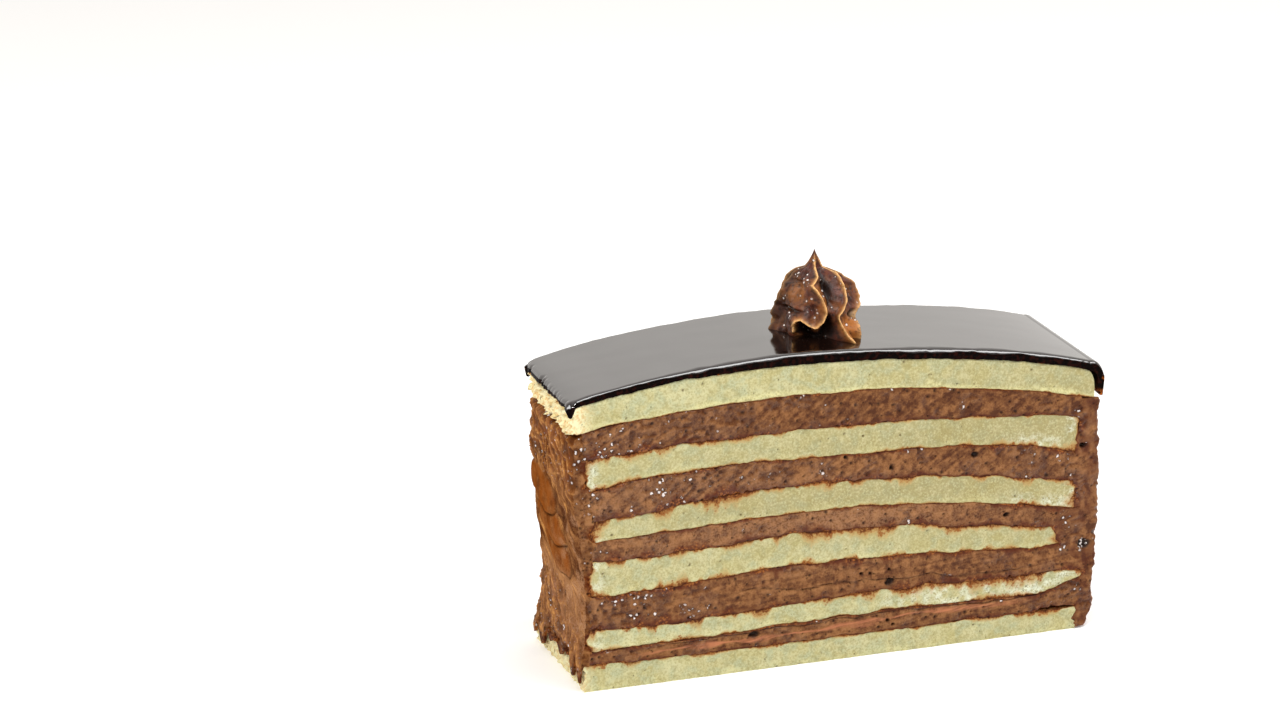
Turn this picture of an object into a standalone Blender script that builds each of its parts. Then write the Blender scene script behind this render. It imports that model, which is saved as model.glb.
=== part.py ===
"""One slice of dobos torte, cut square on its two long sides.

Six thin sponge sheets carry five layers of chocolate buttercream. The same buttercream coats both
ends, a dark glaze covers the top sheet and bends down over its right end, and a piped rosette
stands on the glaze. Sizes are in millimetres here and become metres when a mesh is made. +X runs
along the slice, +Y from the front cut face to the back one and +Z up. The origin is on the surface
that the slice stands on, under its middle.
"""

import math

import bmesh
import bpy
import numpy as np
from mathutils import Vector, noise

MILLIMETRE = 0.001

# The slice
DEPTH = 33.0                            # between the two cut faces
GAP = 0.3                               # kept between neighbouring pieces
STATIONS = (-54.0, -32.0, 0.0, 32.0, 54.0)      # places along X where thickness is given
LAYERS = (                              # bottom to top, with the thickness at each station
    ("sponge_1", (5.7, 5.2, 5.1, 5.1, 4.8)),
    ("cream_1", (2.9, 3.4, 4.3, 4.0, 3.8)),
    ("sponge_2", (4.3, 4.0, 4.5, 4.7, 4.8)),
    ("cream_2", (7.4, 8.1, 7.9, 6.2, 6.1)),
    ("sponge_3", (7.3, 7.1, 6.7, 5.7, 4.1)),
    ("cream_3", (4.1, 4.7, 4.6, 4.9, 3.4)),
    ("sponge_4", (3.9, 5.4, 5.9, 6.0, 5.9)),
    ("cream_4", (6.6, 6.7, 5.5, 6.5, 6.7)),
    ("sponge_5", (6.8, 5.8, 6.2, 6.4, 7.6)),
    ("cream_5", (6.0, 6.9, 7.2, 5.9, 4.5)),
    ("sponge_6", (5.7, 6.6, 6.5, 6.4, 6.1)),
    ("glaze", (1.0, 2.4, 2.2, 2.0, 1.9)),
)
GLAZE_TOP = len(LAYERS)                 # level above the last layer; level 0 is the base
CURVE_REACH = 58.0                      # the thickness stays the same beyond this
BACK_RISE = 1.15                        # the back edge of the top is this much higher
BACK_RISE_SLOPE = 0.022                 # and rises further with each millimetre along X
WEDGE_LEVEL = 2                         # underside of the second sheet, which thins at its right end
WEDGE_FROM, WEDGE_TO, WEDGE_RISE = 47.5, 53.0, 3.3

# Ends of the layers between the first and the last sheet, at levels 1 to 10, on the front face
LEFT_ENDS = (-54.6, -54.5, -54.4, -54.3, -54.1, -53.6, -53.7, -54.2, -55.4, -55.9)
RIGHT_ENDS = (54.3, 55.6, 56.2, 50.6, 47.8, 52.9, 53.3, 53.0, 53.0, 54.0)
BACK_INSET = 1.3                        # the left ends lie further in at the back
BASE_ENDS = (-56.1, 54.3)               # the first sheet shows at both ends
TOP_LEFT = (-58.7, -57.0)               # torn left end of the last sheet, front and back
TOP_RIGHT = 57.2
TOP_RIGHT_ROUNDING = 1.4
TORN_DEPTH = 0.45                       # relief of the torn sponge

# Outer faces of the end coats, as (height, x)
LEFT_FRONT = ((4.0, -57.1), (14.0, -56.3), (26.0, -56.6), (38.0, -58.3), (55.0, -59.1))
LEFT_BACK = ((4.0, -56.6), (10.0, -55.5), (22.0, -54.9), (31.0, -56.5), (37.0, -56.0),
             (43.0, -57.2), (61.0, -57.5))
RIGHT_FACE = ((0.3, 56.9), (1.6, 58.3), (4.0, 58.8), (9.0, 58.7), (13.5, 59.1), (17.5, 58.9),
              (21.5, 59.3), (35.0, 59.1), (52.0, 58.6))
COAT_RELIEF = 0.5                       # lumps left by the spreading knife
COAT_LUMP = 6.0                         # size of a lump
COAT_CLEARANCE = 0.35                   # of the right coat above the base
RIGHT_FOOT = 4.0                        # its rounded foot, without lumps, is this high
DRIPS = ((-11.0, 4.0, 3.0), (-3.5, 2.4, 2.6), (8.0, 3.2, 2.8), (14.0, 1.8, 2.4))
DRIP_TOP = 5.0                          # the left coat hangs over the first sheet from here

# Glaze
GLAZE_LEFT = (-59.3, -57.7)             # front and back
GLAZE_BEND = 56.2                       # where it starts to turn down at the right end
GLAZE_RIGHT = 59.3                      # outer face of the part that hangs
GLAZE_HANG_LOW = 0.5                    # height of its lower edge above the coat
GLAZE_HANG_WAVE = 1.1                   # by how much that edge rises towards the back
GLAZE_HANG_THICKNESS = 1.7
GLAZE_TIP_THICKNESS = 0.9
GLAZE_CELLS = (24, 5, 3)                # along the flat, round the bend and down the end

# Rosette
ROSETTE_CENTRE = (0.05, 0.3)
ROSETTE_HEIGHT = 17.0
ROSETTE_RADIUS = 8.35
ROSETTE_DOME = 0.785                    # share of the height where the dome ends in a spike
ROSETTE_SPIKE = 1.7                     # radius of the spike where it leaves the dome
ROSETTE_FACE = -109.5                   # direction that its angles are counted from
FULL_SIDE, LOPSIDED = 75.0, 0.1         # it is fuller on one side, by that share
VALLEY_DEPTH = 2.6                      # between two ridges
CREST_HEIGHT, CREST_WIDTH = 0.45, 0.6   # of the sharp edge along each ridge
FULLNESS_RADIUS = 4.5                   # the ridges have their full depth where it is this wide
FOOT_HEIGHT = 0.3                       # share of the height over which a foot spreads
RIDGES = (
    # (angle, height) points from the tip to the base, how far the foot reaches, and over how many
    # millimetres the ridge falls away on its left and on its right
    (((0, 17), (-2, 13.8), (2, 12.1), (-9.5, 10.6), (0, 9.6), (7, 8.2), (11, 6.6), (12, 5.3),
      (8, 3.9), (0, 2.7), (-8, 3.1), (-20, 4.2), (-29, 3.8), (-35, 2.5), (-33, 1.2)), 1.08, 8.0, 2.4),
    (((66, 17), (70, 12.4), (56, 11.2), (54, 9.7), (51, 8.7), (45, 7.2), (38, 5.4), (33, 4.5),
      (34, 2.8), (36, 1.2), (39, 0)), 1.3, 3.4, 5.0),
    (((84, 17), (86, 13), (94, 10), (97, 7.4), (90, 5.8), (76, 4.6), (62, 3.2), (56, 1.4), (56, 0)),
     1.2, 5.0, 3.0),
    (((150, 17), (156, 13), (164, 10.5), (156, 8), (140, 5.5), (136, 4.0), (146, 2.2), (150, 0)),
     1.16, 3.0, 2.0),
    (((200, 17), (206, 13), (214, 11.5), (206, 8), (192, 5.5), (190, 4.0), (200, 2.2), (204, 0)),
     1.12, 2.6, 2.2),
    (((240, 17), (246, 13), (254, 11), (258, 9.2), (250, 7.2), (242, 5.0), (250, 2.4), (252, 0)),
     1.14, 2.6, 2.2),
    (((286, 17), (282, 13), (276, 11.6), (280, 10.2), (286, 8.6), (282, 6.4), (272, 5.2), (276, 2.6),
      (280, 0)), 1.16, 2.4, 7.0),
)
HOLLOWS = (                             # angle, height, half width in degrees, half height, depth
    (-20, 1.8, 13, 1.7, 2.6), (19, 2.2, 11, 2.6, 1.8), (80, 3.9, 24, 1.0, 3.0),
    (-60, 10.6, 24, 0.5, 0.5), (-50, 5.2, 30, 0.6, 0.8), (160, 3.2, 24, 0.8, 1.4),
    (225, 3.6, 20, 0.9, 1.2),
)
ROSETTE_SEGMENTS, ROSETTE_RINGS = 96, 32
BASE_RINGS = 4                          # of those rings, how many close the base

# Colour, roughness
FINISHES = {
    "sponge": ((0.565, 0.515, 0.258, 1.0), 0.85),
    "cream": ((0.195, 0.074, 0.026, 1.0), 0.42),
    "coat": ((0.26, 0.11, 0.04, 1.0), 0.36),
    "glaze": ((0.012, 0.006, 0.004, 1.0), 0.08),
    "rosette": ((0.209, 0.095, 0.045, 1.0), 0.3),
}


def level_curves():
    """For each level, a smooth curve of its height along X on the front face."""
    heights = np.zeros(len(STATIONS))
    curves = [np.polyfit(STATIONS, heights, len(STATIONS) - 1)]
    for _, thickness in LAYERS:
        heights = heights + np.array(thickness)
        curves.append(np.polyfit(STATIONS, heights, len(STATIONS) - 1))
    return curves


LEVEL_CURVES = level_curves()


def ease(share):
    """A smooth step from 0 to 1."""
    share = min(max(share, 0.0), 1.0)
    return share * share * (3.0 - 2.0 * share)


def mix(start, end, share):
    return start + (end - start) * share


def towards_back(y):
    """0 on the front cut face and 1 on the back one."""
    return y / DEPTH + 0.5


def level_height(level, x, y):
    """Height of the boundary under the layer of that number."""
    inside = min(max(x, -CURVE_REACH), CURVE_REACH)
    front = np.polyval(LEVEL_CURVES[level], inside)
    top = np.polyval(LEVEL_CURVES[GLAZE_TOP], inside)
    rise = (BACK_RISE + BACK_RISE_SLOPE * inside) * towards_back(y)
    height = front * (1.0 + rise / top)
    if level == WEDGE_LEVEL:
        height += WEDGE_RISE * ease((x - WEDGE_FROM) / (WEDGE_TO - WEDGE_FROM))
    return height


def left_end(level, y):
    return LEFT_ENDS[level - 1] + BACK_INSET * towards_back(y)


def right_end(level):
    return RIGHT_ENDS[level - 1]


def lumps(x, y, z, size):
    """Smooth uneven relief between about -1 and 1."""
    return noise.noise(Vector((x, y, z)) / size)


def follow(outline, height):
    """The x of an outline given as (height, x) points, at a height."""
    heights, places = zip(*outline)
    return float(np.interp(height, heights, places))


def new_piece(name, finish, mesh):
    """An object in metres from a mesh in millimetres, with a material of its own."""
    bmesh.ops.scale(mesh, vec=Vector((MILLIMETRE,) * 3), verts=mesh.verts)
    bmesh.ops.recalc_face_normals(mesh, faces=mesh.faces)
    data = bpy.data.meshes.new(name)
    mesh.to_mesh(data)
    mesh.free()
    data.shade_smooth()
    data.set_sharp_from_angle(angle=math.radians(40))
    colour, roughness = FINISHES[finish]
    material = bpy.data.materials.new(name + "_finish")
    material.use_nodes = True
    shader = material.node_tree.nodes["Principled BSDF"]
    shader.inputs["Base Color"].default_value = colour
    shader.inputs["Roughness"].default_value = roughness
    data.materials.append(material)
    piece = bpy.data.objects.new(name, data)
    slice_parts.objects.link(piece)
    return piece


def block(name, finish, cells, place):
    """A box of cells along, across and upward, each corner moved to place(u, v, w), all 0 to 1."""
    mesh = bmesh.new()
    bmesh.ops.create_cube(mesh, size=1.0)
    for axis, count in enumerate(cells):
        edges = [edge for edge in mesh.edges
                 if abs(edge.verts[0].co[axis] - edge.verts[1].co[axis]) > 0.5]
        if count > 1:
            bmesh.ops.subdivide_edges(mesh, edges=edges, cuts=count - 1, use_grid_fill=True)
    for vert in mesh.verts:
        vert.co = place(*(vert.co + Vector((0.5, 0.5, 0.5))))
    return new_piece(name, finish, mesh)


def add_layer(number, name):
    """A sheet or a cream layer that ends at the coats."""
    def place(u, v, w):
        y = mix(-DEPTH / 2, DEPTH / 2, v)
        left = mix(left_end(number, y), left_end(number + 1, y), w)
        right = mix(right_end(number), right_end(number + 1), w)
        x = mix(left, right, u)
        low = level_height(number, x, y) + GAP / 2
        high = level_height(number + 1, x, y) - GAP / 2
        return Vector((x, y, mix(low, high, w)))
    return block(name, name.split("_")[0], (18, 3, 1), place)


def add_base_sheet():
    """The first sheet, flat underneath, with a torn left end that shows under the coat."""
    def place(u, v, w):
        y = mix(-DEPTH / 2, DEPTH / 2, v)
        left, right = BASE_ENDS
        x = mix(left, right, u)
        if u == 0:
            x += TORN_DEPTH * (0.5 + 0.5 * lumps(0, y, w * 5, 3.0))
        return Vector((x, y, w * (level_height(1, x, y) - GAP / 2)))
    return block("sponge_1", "sponge", (22, 8, 2), place)


def add_top_sheet():
    """The last sheet: torn at its left end and rounded at its right one, under the glaze."""
    number = GLAZE_TOP - 2

    def place(u, v, w):
        y = mix(-DEPTH / 2, DEPTH / 2, v)
        left = mix(*TOP_LEFT, v)
        if u == 0:
            left += TORN_DEPTH * lumps(0, y, w * 6, 2.5)
        x = mix(left, TOP_RIGHT - TOP_RIGHT_ROUNDING * w ** 4, u)
        low = level_height(number, x, y) + GAP / 2
        high = level_height(number + 1, x, y) - GAP / 2
        return Vector((x, y, mix(low, high, w)))
    return block("sponge_6", "sponge", (24, 10, 4), place)


def left_coat_knots(y):
    """Inner side of the left coat as (x, height) points from its hanging edge upward."""
    drip = sum(length * math.exp(-((y - at) / width) ** 2) for at, length, width in DRIPS)
    over_base = BASE_ENDS[0] - GAP
    ledge = level_height(1, left_end(1, y), y) + GAP
    knots = [(over_base, DRIP_TOP - drip), (over_base, ledge)]
    for level in range(1, 11):
        x = left_end(level, y)
        knots.append((x - GAP, level_height(level, x, y)))
    knots[2] = (knots[2][0], ledge + GAP)
    knots[-1] = (knots[-1][0], knots[-1][1] - GAP)
    return knots


def right_coat_knots(y):
    """Inner side of the right coat as (x, height) points from the base upward."""
    knots = [(BASE_ENDS[1] + GAP, COAT_CLEARANCE)]
    for level in range(1, 11):
        x = right_end(level)
        knots.append((x + GAP, level_height(level, x, y)))
    knots[-1] = (knots[-1][0], knots[-1][1] - GAP)
    return knots


def along_knots(knots, w):
    """The point a share w of the way through the knots, with equal steps between them."""
    at = w * (len(knots) - 1)
    first = min(int(at + 1e-6), len(knots) - 2)
    share = at - first
    return tuple(mix(knots[first][i], knots[first + 1][i], share) for i in (0, 1))


def sag(x, inner, y, w):
    """By how much the last sheet's underside lies lower over the outside of a coat than inside."""
    return w * (level_height(GLAZE_TOP - 2, x, y) - level_height(GLAZE_TOP - 2, inner, y))


def add_left_coat():
    """Buttercream on the left end, lumpy outside, with drips over the first sheet."""
    def place(u, v, w):
        y = mix(-DEPTH / 2, DEPTH / 2, v)
        inner, z = along_knots(left_coat_knots(y), w)
        outer = mix(follow(LEFT_FRONT, z), follow(LEFT_BACK, z), v)
        outer -= COAT_RELIEF * (0.3 + lumps(0, y, z, COAT_LUMP))
        x = mix(inner, outer, u)
        return Vector((x, y, z + sag(x, inner, y, w)))
    return block("coat_left", "coat", (1, 14, 22), place)


def add_right_coat():
    """Buttercream on the right end, down to the base with a rounded lower edge."""
    def place(u, v, w):
        y = mix(-DEPTH / 2, DEPTH / 2, v)
        inner, z = along_knots(right_coat_knots(y), w)
        lumpy = COAT_RELIEF * min(1.0, 3.0 * v) * ease(z / RIGHT_FOOT)
        outer = follow(RIGHT_FACE, z) + lumpy * (lumps(40, y, z, COAT_LUMP) - 0.3)
        x = mix(inner, outer, u)
        return Vector((x, y, z + sag(x, inner, y, w)))
    return block("coat_right", "coat", (2, 12, 20), place)


def glaze_line(along, y, outside):
    """A point on the outer (1) or inner (0) side of the glaze, along cells from its left end."""
    flat, bend, hang = GLAZE_CELLS
    level = GLAZE_TOP - 1 + outside
    clear = 0.0 if outside else GAP / 2
    left = mix(*GLAZE_LEFT, towards_back(y))
    if along <= flat:
        x = mix(left, GLAZE_BEND, along / flat)
        if along == 0:
            x += 0.35 * lumps(7, y, 0, 2.5)
        return Vector((x, y, level_height(level, x, y) + clear))
    start = level_height(level, GLAZE_BEND, y) + clear
    wave = 1.0 - math.cos(towards_back(y) * 2.3 * math.pi)
    tip = level_height(GLAZE_TOP - 2, GLAZE_BEND, y) + GLAZE_HANG_LOW + GLAZE_HANG_WAVE * wave
    down = max(0.0, (along - flat - bend) / hang)
    thickness = 0.0 if outside else mix(GLAZE_HANG_THICKNESS, GLAZE_TIP_THICKNESS, down ** 2)
    reach = GLAZE_RIGHT - thickness - 0.35 * down ** 2 * outside - GLAZE_BEND
    radius = reach if outside else reach + 0.2
    if down == 0:
        angle = (along - flat) / bend * math.pi / 2
        return Vector((GLAZE_BEND + reach * math.sin(angle), y, start - radius * (1 - math.cos(angle))))
    return Vector((GLAZE_BEND + reach, y, mix(start - radius, tip, down)))


def add_glaze():
    """Dark glaze over the last sheet, with a part that hangs over its right end."""
    cells = sum(GLAZE_CELLS)

    def place(u, v, w):
        y = mix(-DEPTH / 2, DEPTH / 2, v)
        low = glaze_line(u * cells, y, 0)
        return low.lerp(glaze_line(u * cells, y, 1), w)
    return block("glaze", "glaze", (cells, 8, 1), place)


def apart(angle, other):
    """Degrees from one direction to another, -180 to 180."""
    return (angle - other + 180.0) % 360.0 - 180.0


def rosette_body(angle, share):
    """Radius of the rosette without its ridges, at a direction and a share of its height."""
    dome = ROSETTE_RADIUS * math.sqrt(max(0.0, 1.0 - (share / ROSETTE_DOME) ** 3))
    dome *= 1.0 + LOPSIDED * math.cos(math.radians(angle - FULL_SIDE))
    spike = ROSETTE_SPIKE * min(1.0, (1.0 - share) / (1.0 - ROSETTE_DOME)) ** 1.2
    return (dome ** 4 + spike ** 4) ** 0.25


def beside_path(angle, height, body, path):
    """Distance from a ridge's path on the unrolled side, more than 0 on its right."""
    nearest = math.inf
    scale = math.radians(max(body, 1.0))
    for (start_angle, start), (end_angle, end) in zip(path[:-1], path[1:]):
        across, up = apart(angle, start_angle) * scale, height - start
        run, rise = (end_angle - start_angle) * scale, end - start
        length = math.hypot(run, rise) + 1e-9
        share = min(max((across * run + up * rise) / length ** 2, 0.0), 1.0)
        side = (run * up - rise * across) / length
        # past a corner of the path the segment that faces the point more decides the side
        far = math.hypot(across - share * run, up - share * rise) - 0.001 * abs(side)
        if far < abs(nearest):
            nearest = math.copysign(far, side)
    return nearest


def rosette_radius(angle, share):
    """Radius of the ridged rosette at a direction and a share of its height."""
    body, height = rosette_body(angle, share), share * ROSETTE_HEIGHT
    closest, crest, foot = math.inf, 0.0, 1.0
    for path, reach, left_fall, right_fall in RIDGES:
        distance = beside_path(angle, height, body, path)
        crest = max(crest, math.exp(-(distance / CREST_WIDTH) ** 2))
        far = abs(distance) / (right_fall if distance > 0 else left_fall)
        if far < closest:
            closest, foot = far, reach
    cover = max(0.0, 1.0 - closest)
    hollow = 0.0
    for at, up, half_turn, half_height, depth in HOLLOWS:
        far = math.hypot(apart(angle, at) / half_turn, (height - up) / half_height)
        hollow = max(hollow, depth * ease(1.25 - far))
    relief = (CREST_HEIGHT * crest - VALLEY_DEPTH * (1.0 - cover ** 1.3)) * ease(body / FULLNESS_RADIUS)
    radius = body + relief - hollow * (1.0 - 0.7 * crest)
    return radius * (1.0 + (foot - 1.0) * math.sqrt(cover) * ease(1.0 - share / FOOT_HEIGHT))


def add_rosette():
    """Piped rosette: a ridged dome that ends in a spike, its feet spread on the glaze."""
    centre_x, centre_y = ROSETTE_CENTRE
    seat = level_height(GLAZE_TOP, centre_x, centre_y)
    side_rings = ROSETTE_RINGS - BASE_RINGS
    mesh = bmesh.new()
    bmesh.ops.create_uvsphere(
        mesh, u_segments=ROSETTE_SEGMENTS, v_segments=ROSETTE_RINGS, radius=1.0)
    for vert in mesh.verts:
        ring = round(math.acos(max(-1.0, min(1.0, vert.co.z))) / math.pi * ROSETTE_RINGS)
        share = max(0.0, 1.0 - ring / side_rings)
        closing = max(0.0, (ring - side_rings) / BASE_RINGS)
        angle = math.degrees(math.atan2(vert.co.y, vert.co.x))
        radius = rosette_radius(angle - ROSETTE_FACE, share) * (1.0 - closing)
        x = centre_x + radius * math.cos(math.radians(angle))
        y = centre_y + radius * math.sin(math.radians(angle))
        ground = mix(level_height(GLAZE_TOP, x, y), seat, share) + GAP
        vert.co = Vector((x, y, ground + share * ROSETTE_HEIGHT))
    return new_piece("rosette", "rosette", mesh)


for old in list(bpy.data.objects):
    bpy.data.objects.remove(old, do_unlink=True)

slice_parts = bpy.data.collections.new("dobos_torte_slice")
bpy.context.scene.collection.children.link(slice_parts)

add_base_sheet()
for layer_number, (layer_name, _) in enumerate(LAYERS):
    if 0 < layer_number < GLAZE_TOP - 2:
        add_layer(layer_number, layer_name)
add_top_sheet()
add_left_coat()
add_right_coat()
add_glaze()
add_rosette()
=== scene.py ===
# One slice of dobos torte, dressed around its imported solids.
# Lengths in the settings are in millimetres; the frame and the scene are in metres.
import math

import bpy
import numpy as np
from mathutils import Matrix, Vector
from mathutils.bvhtree import BVHTree


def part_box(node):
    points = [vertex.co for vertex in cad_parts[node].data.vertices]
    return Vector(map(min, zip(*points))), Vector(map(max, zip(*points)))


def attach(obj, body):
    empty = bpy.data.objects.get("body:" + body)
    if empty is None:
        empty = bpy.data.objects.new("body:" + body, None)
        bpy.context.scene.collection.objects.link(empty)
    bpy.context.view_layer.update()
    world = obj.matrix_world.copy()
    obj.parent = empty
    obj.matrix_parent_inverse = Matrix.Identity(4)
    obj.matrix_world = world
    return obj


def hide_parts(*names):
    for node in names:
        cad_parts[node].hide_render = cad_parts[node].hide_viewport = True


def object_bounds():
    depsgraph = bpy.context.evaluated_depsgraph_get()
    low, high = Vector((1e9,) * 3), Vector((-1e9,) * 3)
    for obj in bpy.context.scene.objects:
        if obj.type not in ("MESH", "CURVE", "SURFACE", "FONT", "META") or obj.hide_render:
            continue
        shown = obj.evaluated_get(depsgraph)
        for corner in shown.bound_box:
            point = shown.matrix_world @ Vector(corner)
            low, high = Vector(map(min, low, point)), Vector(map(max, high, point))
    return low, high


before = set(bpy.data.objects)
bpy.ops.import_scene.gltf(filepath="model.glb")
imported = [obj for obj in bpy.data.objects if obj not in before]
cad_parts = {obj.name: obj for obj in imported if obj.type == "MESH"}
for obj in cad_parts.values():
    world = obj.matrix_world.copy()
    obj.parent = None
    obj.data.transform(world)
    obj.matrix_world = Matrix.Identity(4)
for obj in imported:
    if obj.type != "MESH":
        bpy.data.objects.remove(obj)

cadLow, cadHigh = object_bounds()
mm = 0.001
halfDepth = (cadHigh.y - cadLow.y) / 2 / mm
print("frame loaded:", [round(v / mm, 1) for v in cadHigh - cadLow], "mm")


def makeCamera():
    azimuth, elevation, distance = math.radians(-19.5), math.radians(15.6), 0.591
    target = Vector((-0.0439, -halfDepth * mm, 0.0688))
    back = Vector((math.sin(azimuth) * math.cos(elevation),
                   -math.cos(azimuth) * math.cos(elevation), math.sin(elevation)))
    data = bpy.data.cameras.new("camera")
    data.lens, data.sensor_width = 84.375, 36
    data.clip_start, data.clip_end = 0.01, 20
    camera = bpy.data.objects.new("camera", data)
    bpy.context.scene.collection.objects.link(camera)
    camera.location = target + back * distance
    camera.rotation_euler = back.to_track_quat("Z", "Y").to_euler()
    bpy.context.scene.camera = camera


makeCamera()


def mix(start, end, share):
    return start + (end - start) * share


def ease(share):
    share = np.clip(share, 0.0, 1.0)
    return share * share * (3.0 - 2.0 * share)


def scatterValue(ix, iy, iz, seed):
    # one repeatable random number, 0 to 1, for each corner of a lattice
    n = (ix.astype(np.uint32) * np.uint32(374761393) + iy.astype(np.uint32) * np.uint32(668265263)
         + iz.astype(np.uint32) * np.uint32(2246822519) + np.uint32(seed * 144665 + 9176))
    n = (n ^ (n >> np.uint32(13))) * np.uint32(1274126177)
    n = (n ^ (n >> np.uint32(15))) * np.uint32(2246822519)
    return (n ^ (n >> np.uint32(16))).astype(np.float64) / 4294967295.0


def cloud(x, y, z, size, seed=0, octaves=1):
    # smooth uneven values between about -1 and 1, of that feature size
    total, weight, sumWeight = 0.0, 1.0, 0.0
    for octave in range(octaves):
        px, py, pz = (np.atleast_1d(v) / size + 300.0 + 17.3 * octave for v in (x, y, z))
        ix, iy, iz = (np.floor(v).astype(np.int64) for v in (px, py, pz))
        fx, fy, fz = (f * f * f * (f * (f * 6 - 15) + 10) for f in (px - ix, py - iy, pz - iz))
        value = 0.0
        for dx in (0, 1):
            for dy in (0, 1):
                for dz in (0, 1):
                    share = ((fx if dx else 1 - fx) * (fy if dy else 1 - fy)
                             * (fz if dz else 1 - fz))
                    value = value + share * scatterValue(ix + dx, iy + dy, iz + dz, seed + octave)
        total = total + weight * (value * 2 - 1)
        sumWeight += weight
        weight *= 0.5
        size = size / 2
    return total / sumWeight * 1.4


def spots(a, b, size, seed):
    # distance to the nearest of some scattered points, in mm, and that point's own number
    pa, pb = np.atleast_1d(a) / size + 300.0, np.atleast_1d(b) / size + 300.0
    ia, ib = np.floor(pa).astype(np.int64), np.floor(pb).astype(np.int64)
    best = np.full(pa.shape, 9.0)
    chosen = np.zeros(pa.shape)
    zero = np.zeros_like(ia)
    for da in (-1, 0, 1):
        for db in (-1, 0, 1):
            ca, cb = ia + da, ib + db
            qa = ca + scatterValue(ca, cb, zero, seed)
            qb = cb + scatterValue(ca, cb, zero + 1, seed)
            far = np.hypot(qa - pa, qb - pb)
            near = far < best
            best = np.where(near, far, best)
            chosen = np.where(near, scatterValue(ca, cb, zero + 2, seed), chosen)
    return best * size, chosen


def pits(a, b, size, seed, share, radius):
    # round hollows, 0 to 1 deep, at a share of the scattered points
    far, number = spots(a, b, size, seed)
    own = radius * (0.55 + 0.9 * ((number * 7.31) % 1.0))
    return np.where(number < share, ease(1.25 - far / own), 0.0)


def drags(x, side, z, degrees, length, width, seed):
    # marks of a dragged knife: long and narrow, at an angle from level, rising to the right
    turn = math.radians(degrees)
    along = x * math.cos(turn) + z * math.sin(turn)
    across = -x * math.sin(turn) + z * math.cos(turn) + 0.5 * cloud(x, side, z, 5.0, seed + 7)
    return cloud(along / length, side, across / width, 1.0, seed, 3)


def table(rows, x, z):
    # a value between rows given as (height, values at evenly spaced places along X)
    heights = [row[0] for row in rows]
    places = np.linspace(-54.0, 54.0, len(rows[0][1]))
    values = np.stack([np.interp(x, places, row[1]) for row in rows])
    at = np.interp(z, heights, np.arange(len(rows)))
    first = np.clip(at.astype(int), 0, len(rows) - 2)
    index = np.arange(values.shape[1])
    return mix(values[first, index], values[first + 1, index], at - first)


def boxShell(cells):
    # the skin of a box lattice: its points as shares along X, Y and Z, its faces, and which of
    # the six sides (0 and 1 across X, 2 and 3 across Y, 4 and 5 across Z) each face is on
    counts = np.array(cells) + 1
    grid = np.indices(counts).reshape(3, -1).T
    onSkin = ((grid == 0) | (grid == counts - 1)).any(axis=1)
    number = np.full(len(grid), -1)
    number[onSkin] = np.arange(onSkin.sum())
    number = number.reshape(counts)
    faces, sides = [], []
    for axis in range(3):
        for side in (0, 1):
            sheet = number.take(-side, axis=axis)
            corners = [sheet[:-1, :-1], sheet[1:, :-1], sheet[1:, 1:], sheet[:-1, 1:]]
            if (side == 0) != (axis == 1):
                corners.reverse()
            faces.append(np.stack(corners, -1).reshape(-1, 4))
            sides.append(np.full(len(faces[-1]), 2 * axis + side))
    u, v, w = (grid[onSkin] / (counts - 1)).T
    return u, v, w, np.concatenate(faces).tolist(), np.concatenate(sides)


def makePiece(name, places, faces, materials, marks, sharpOver=55):
    # an object from its points' X, Y and Z in mm, with a number a point for each of its marks
    points = np.stack(places, 1)
    mesh = bpy.data.meshes.new(name)
    mesh.from_pydata((points * mm).tolist(), [], faces)
    mesh.shade_smooth()
    mesh.set_sharp_from_angle(angle=math.radians(sharpOver))
    for mark, values in marks.items():
        layer = mesh.attributes.new(mark, "FLOAT", "POINT")
        values = np.broadcast_to(np.clip(values, 0, 1), len(points))
        layer.data.foreach_set("value", values.astype(np.float32))
    for material in materials:
        mesh.materials.append(material)
    piece = bpy.data.objects.new(name, mesh)
    bpy.context.scene.collection.objects.link(piece)
    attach(piece, "root")
    return piece


class Wire:
    # a socket on which Python's arithmetic adds Math nodes
    def __init__(self, finish, socket):
        self.finish, self.socket = finish, socket

    def math(self, operation, *values):
        return self.finish.node("ShaderNodeMath", {"operation": operation}, dict(enumerate(values)))

    def __add__(self, other):
        return self.math("ADD", self, other)

    def __radd__(self, other):
        return self.math("ADD", other, self)

    def __sub__(self, other):
        return self.math("SUBTRACT", self, other)

    def __rsub__(self, other):
        return self.math("SUBTRACT", other, self)

    def __mul__(self, other):
        return self.math("MULTIPLY", self, other)

    def __rmul__(self, other):
        return self.math("MULTIPLY", other, self)

    def within(self):
        return self.math("MINIMUM", self.math("MAXIMUM", self, 0.0), 1.0)

    def above(self, level, softness):
        # 0 under a level and 1 over it, with a soft step
        return ((self - level) * (0.5 / softness) + 0.5).within()

    def under(self, level, softness):
        return 1 - self.above(level, softness)


def paint(red, green, blue):
    # a colour given as 0 to 255 on screen
    def linear(value):
        value /= 255
        return value / 12.92 if value <= 0.04045 else ((value + 0.055) / 1.055) ** 2.4
    return (linear(red), linear(green), linear(blue), 1.0)


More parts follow.
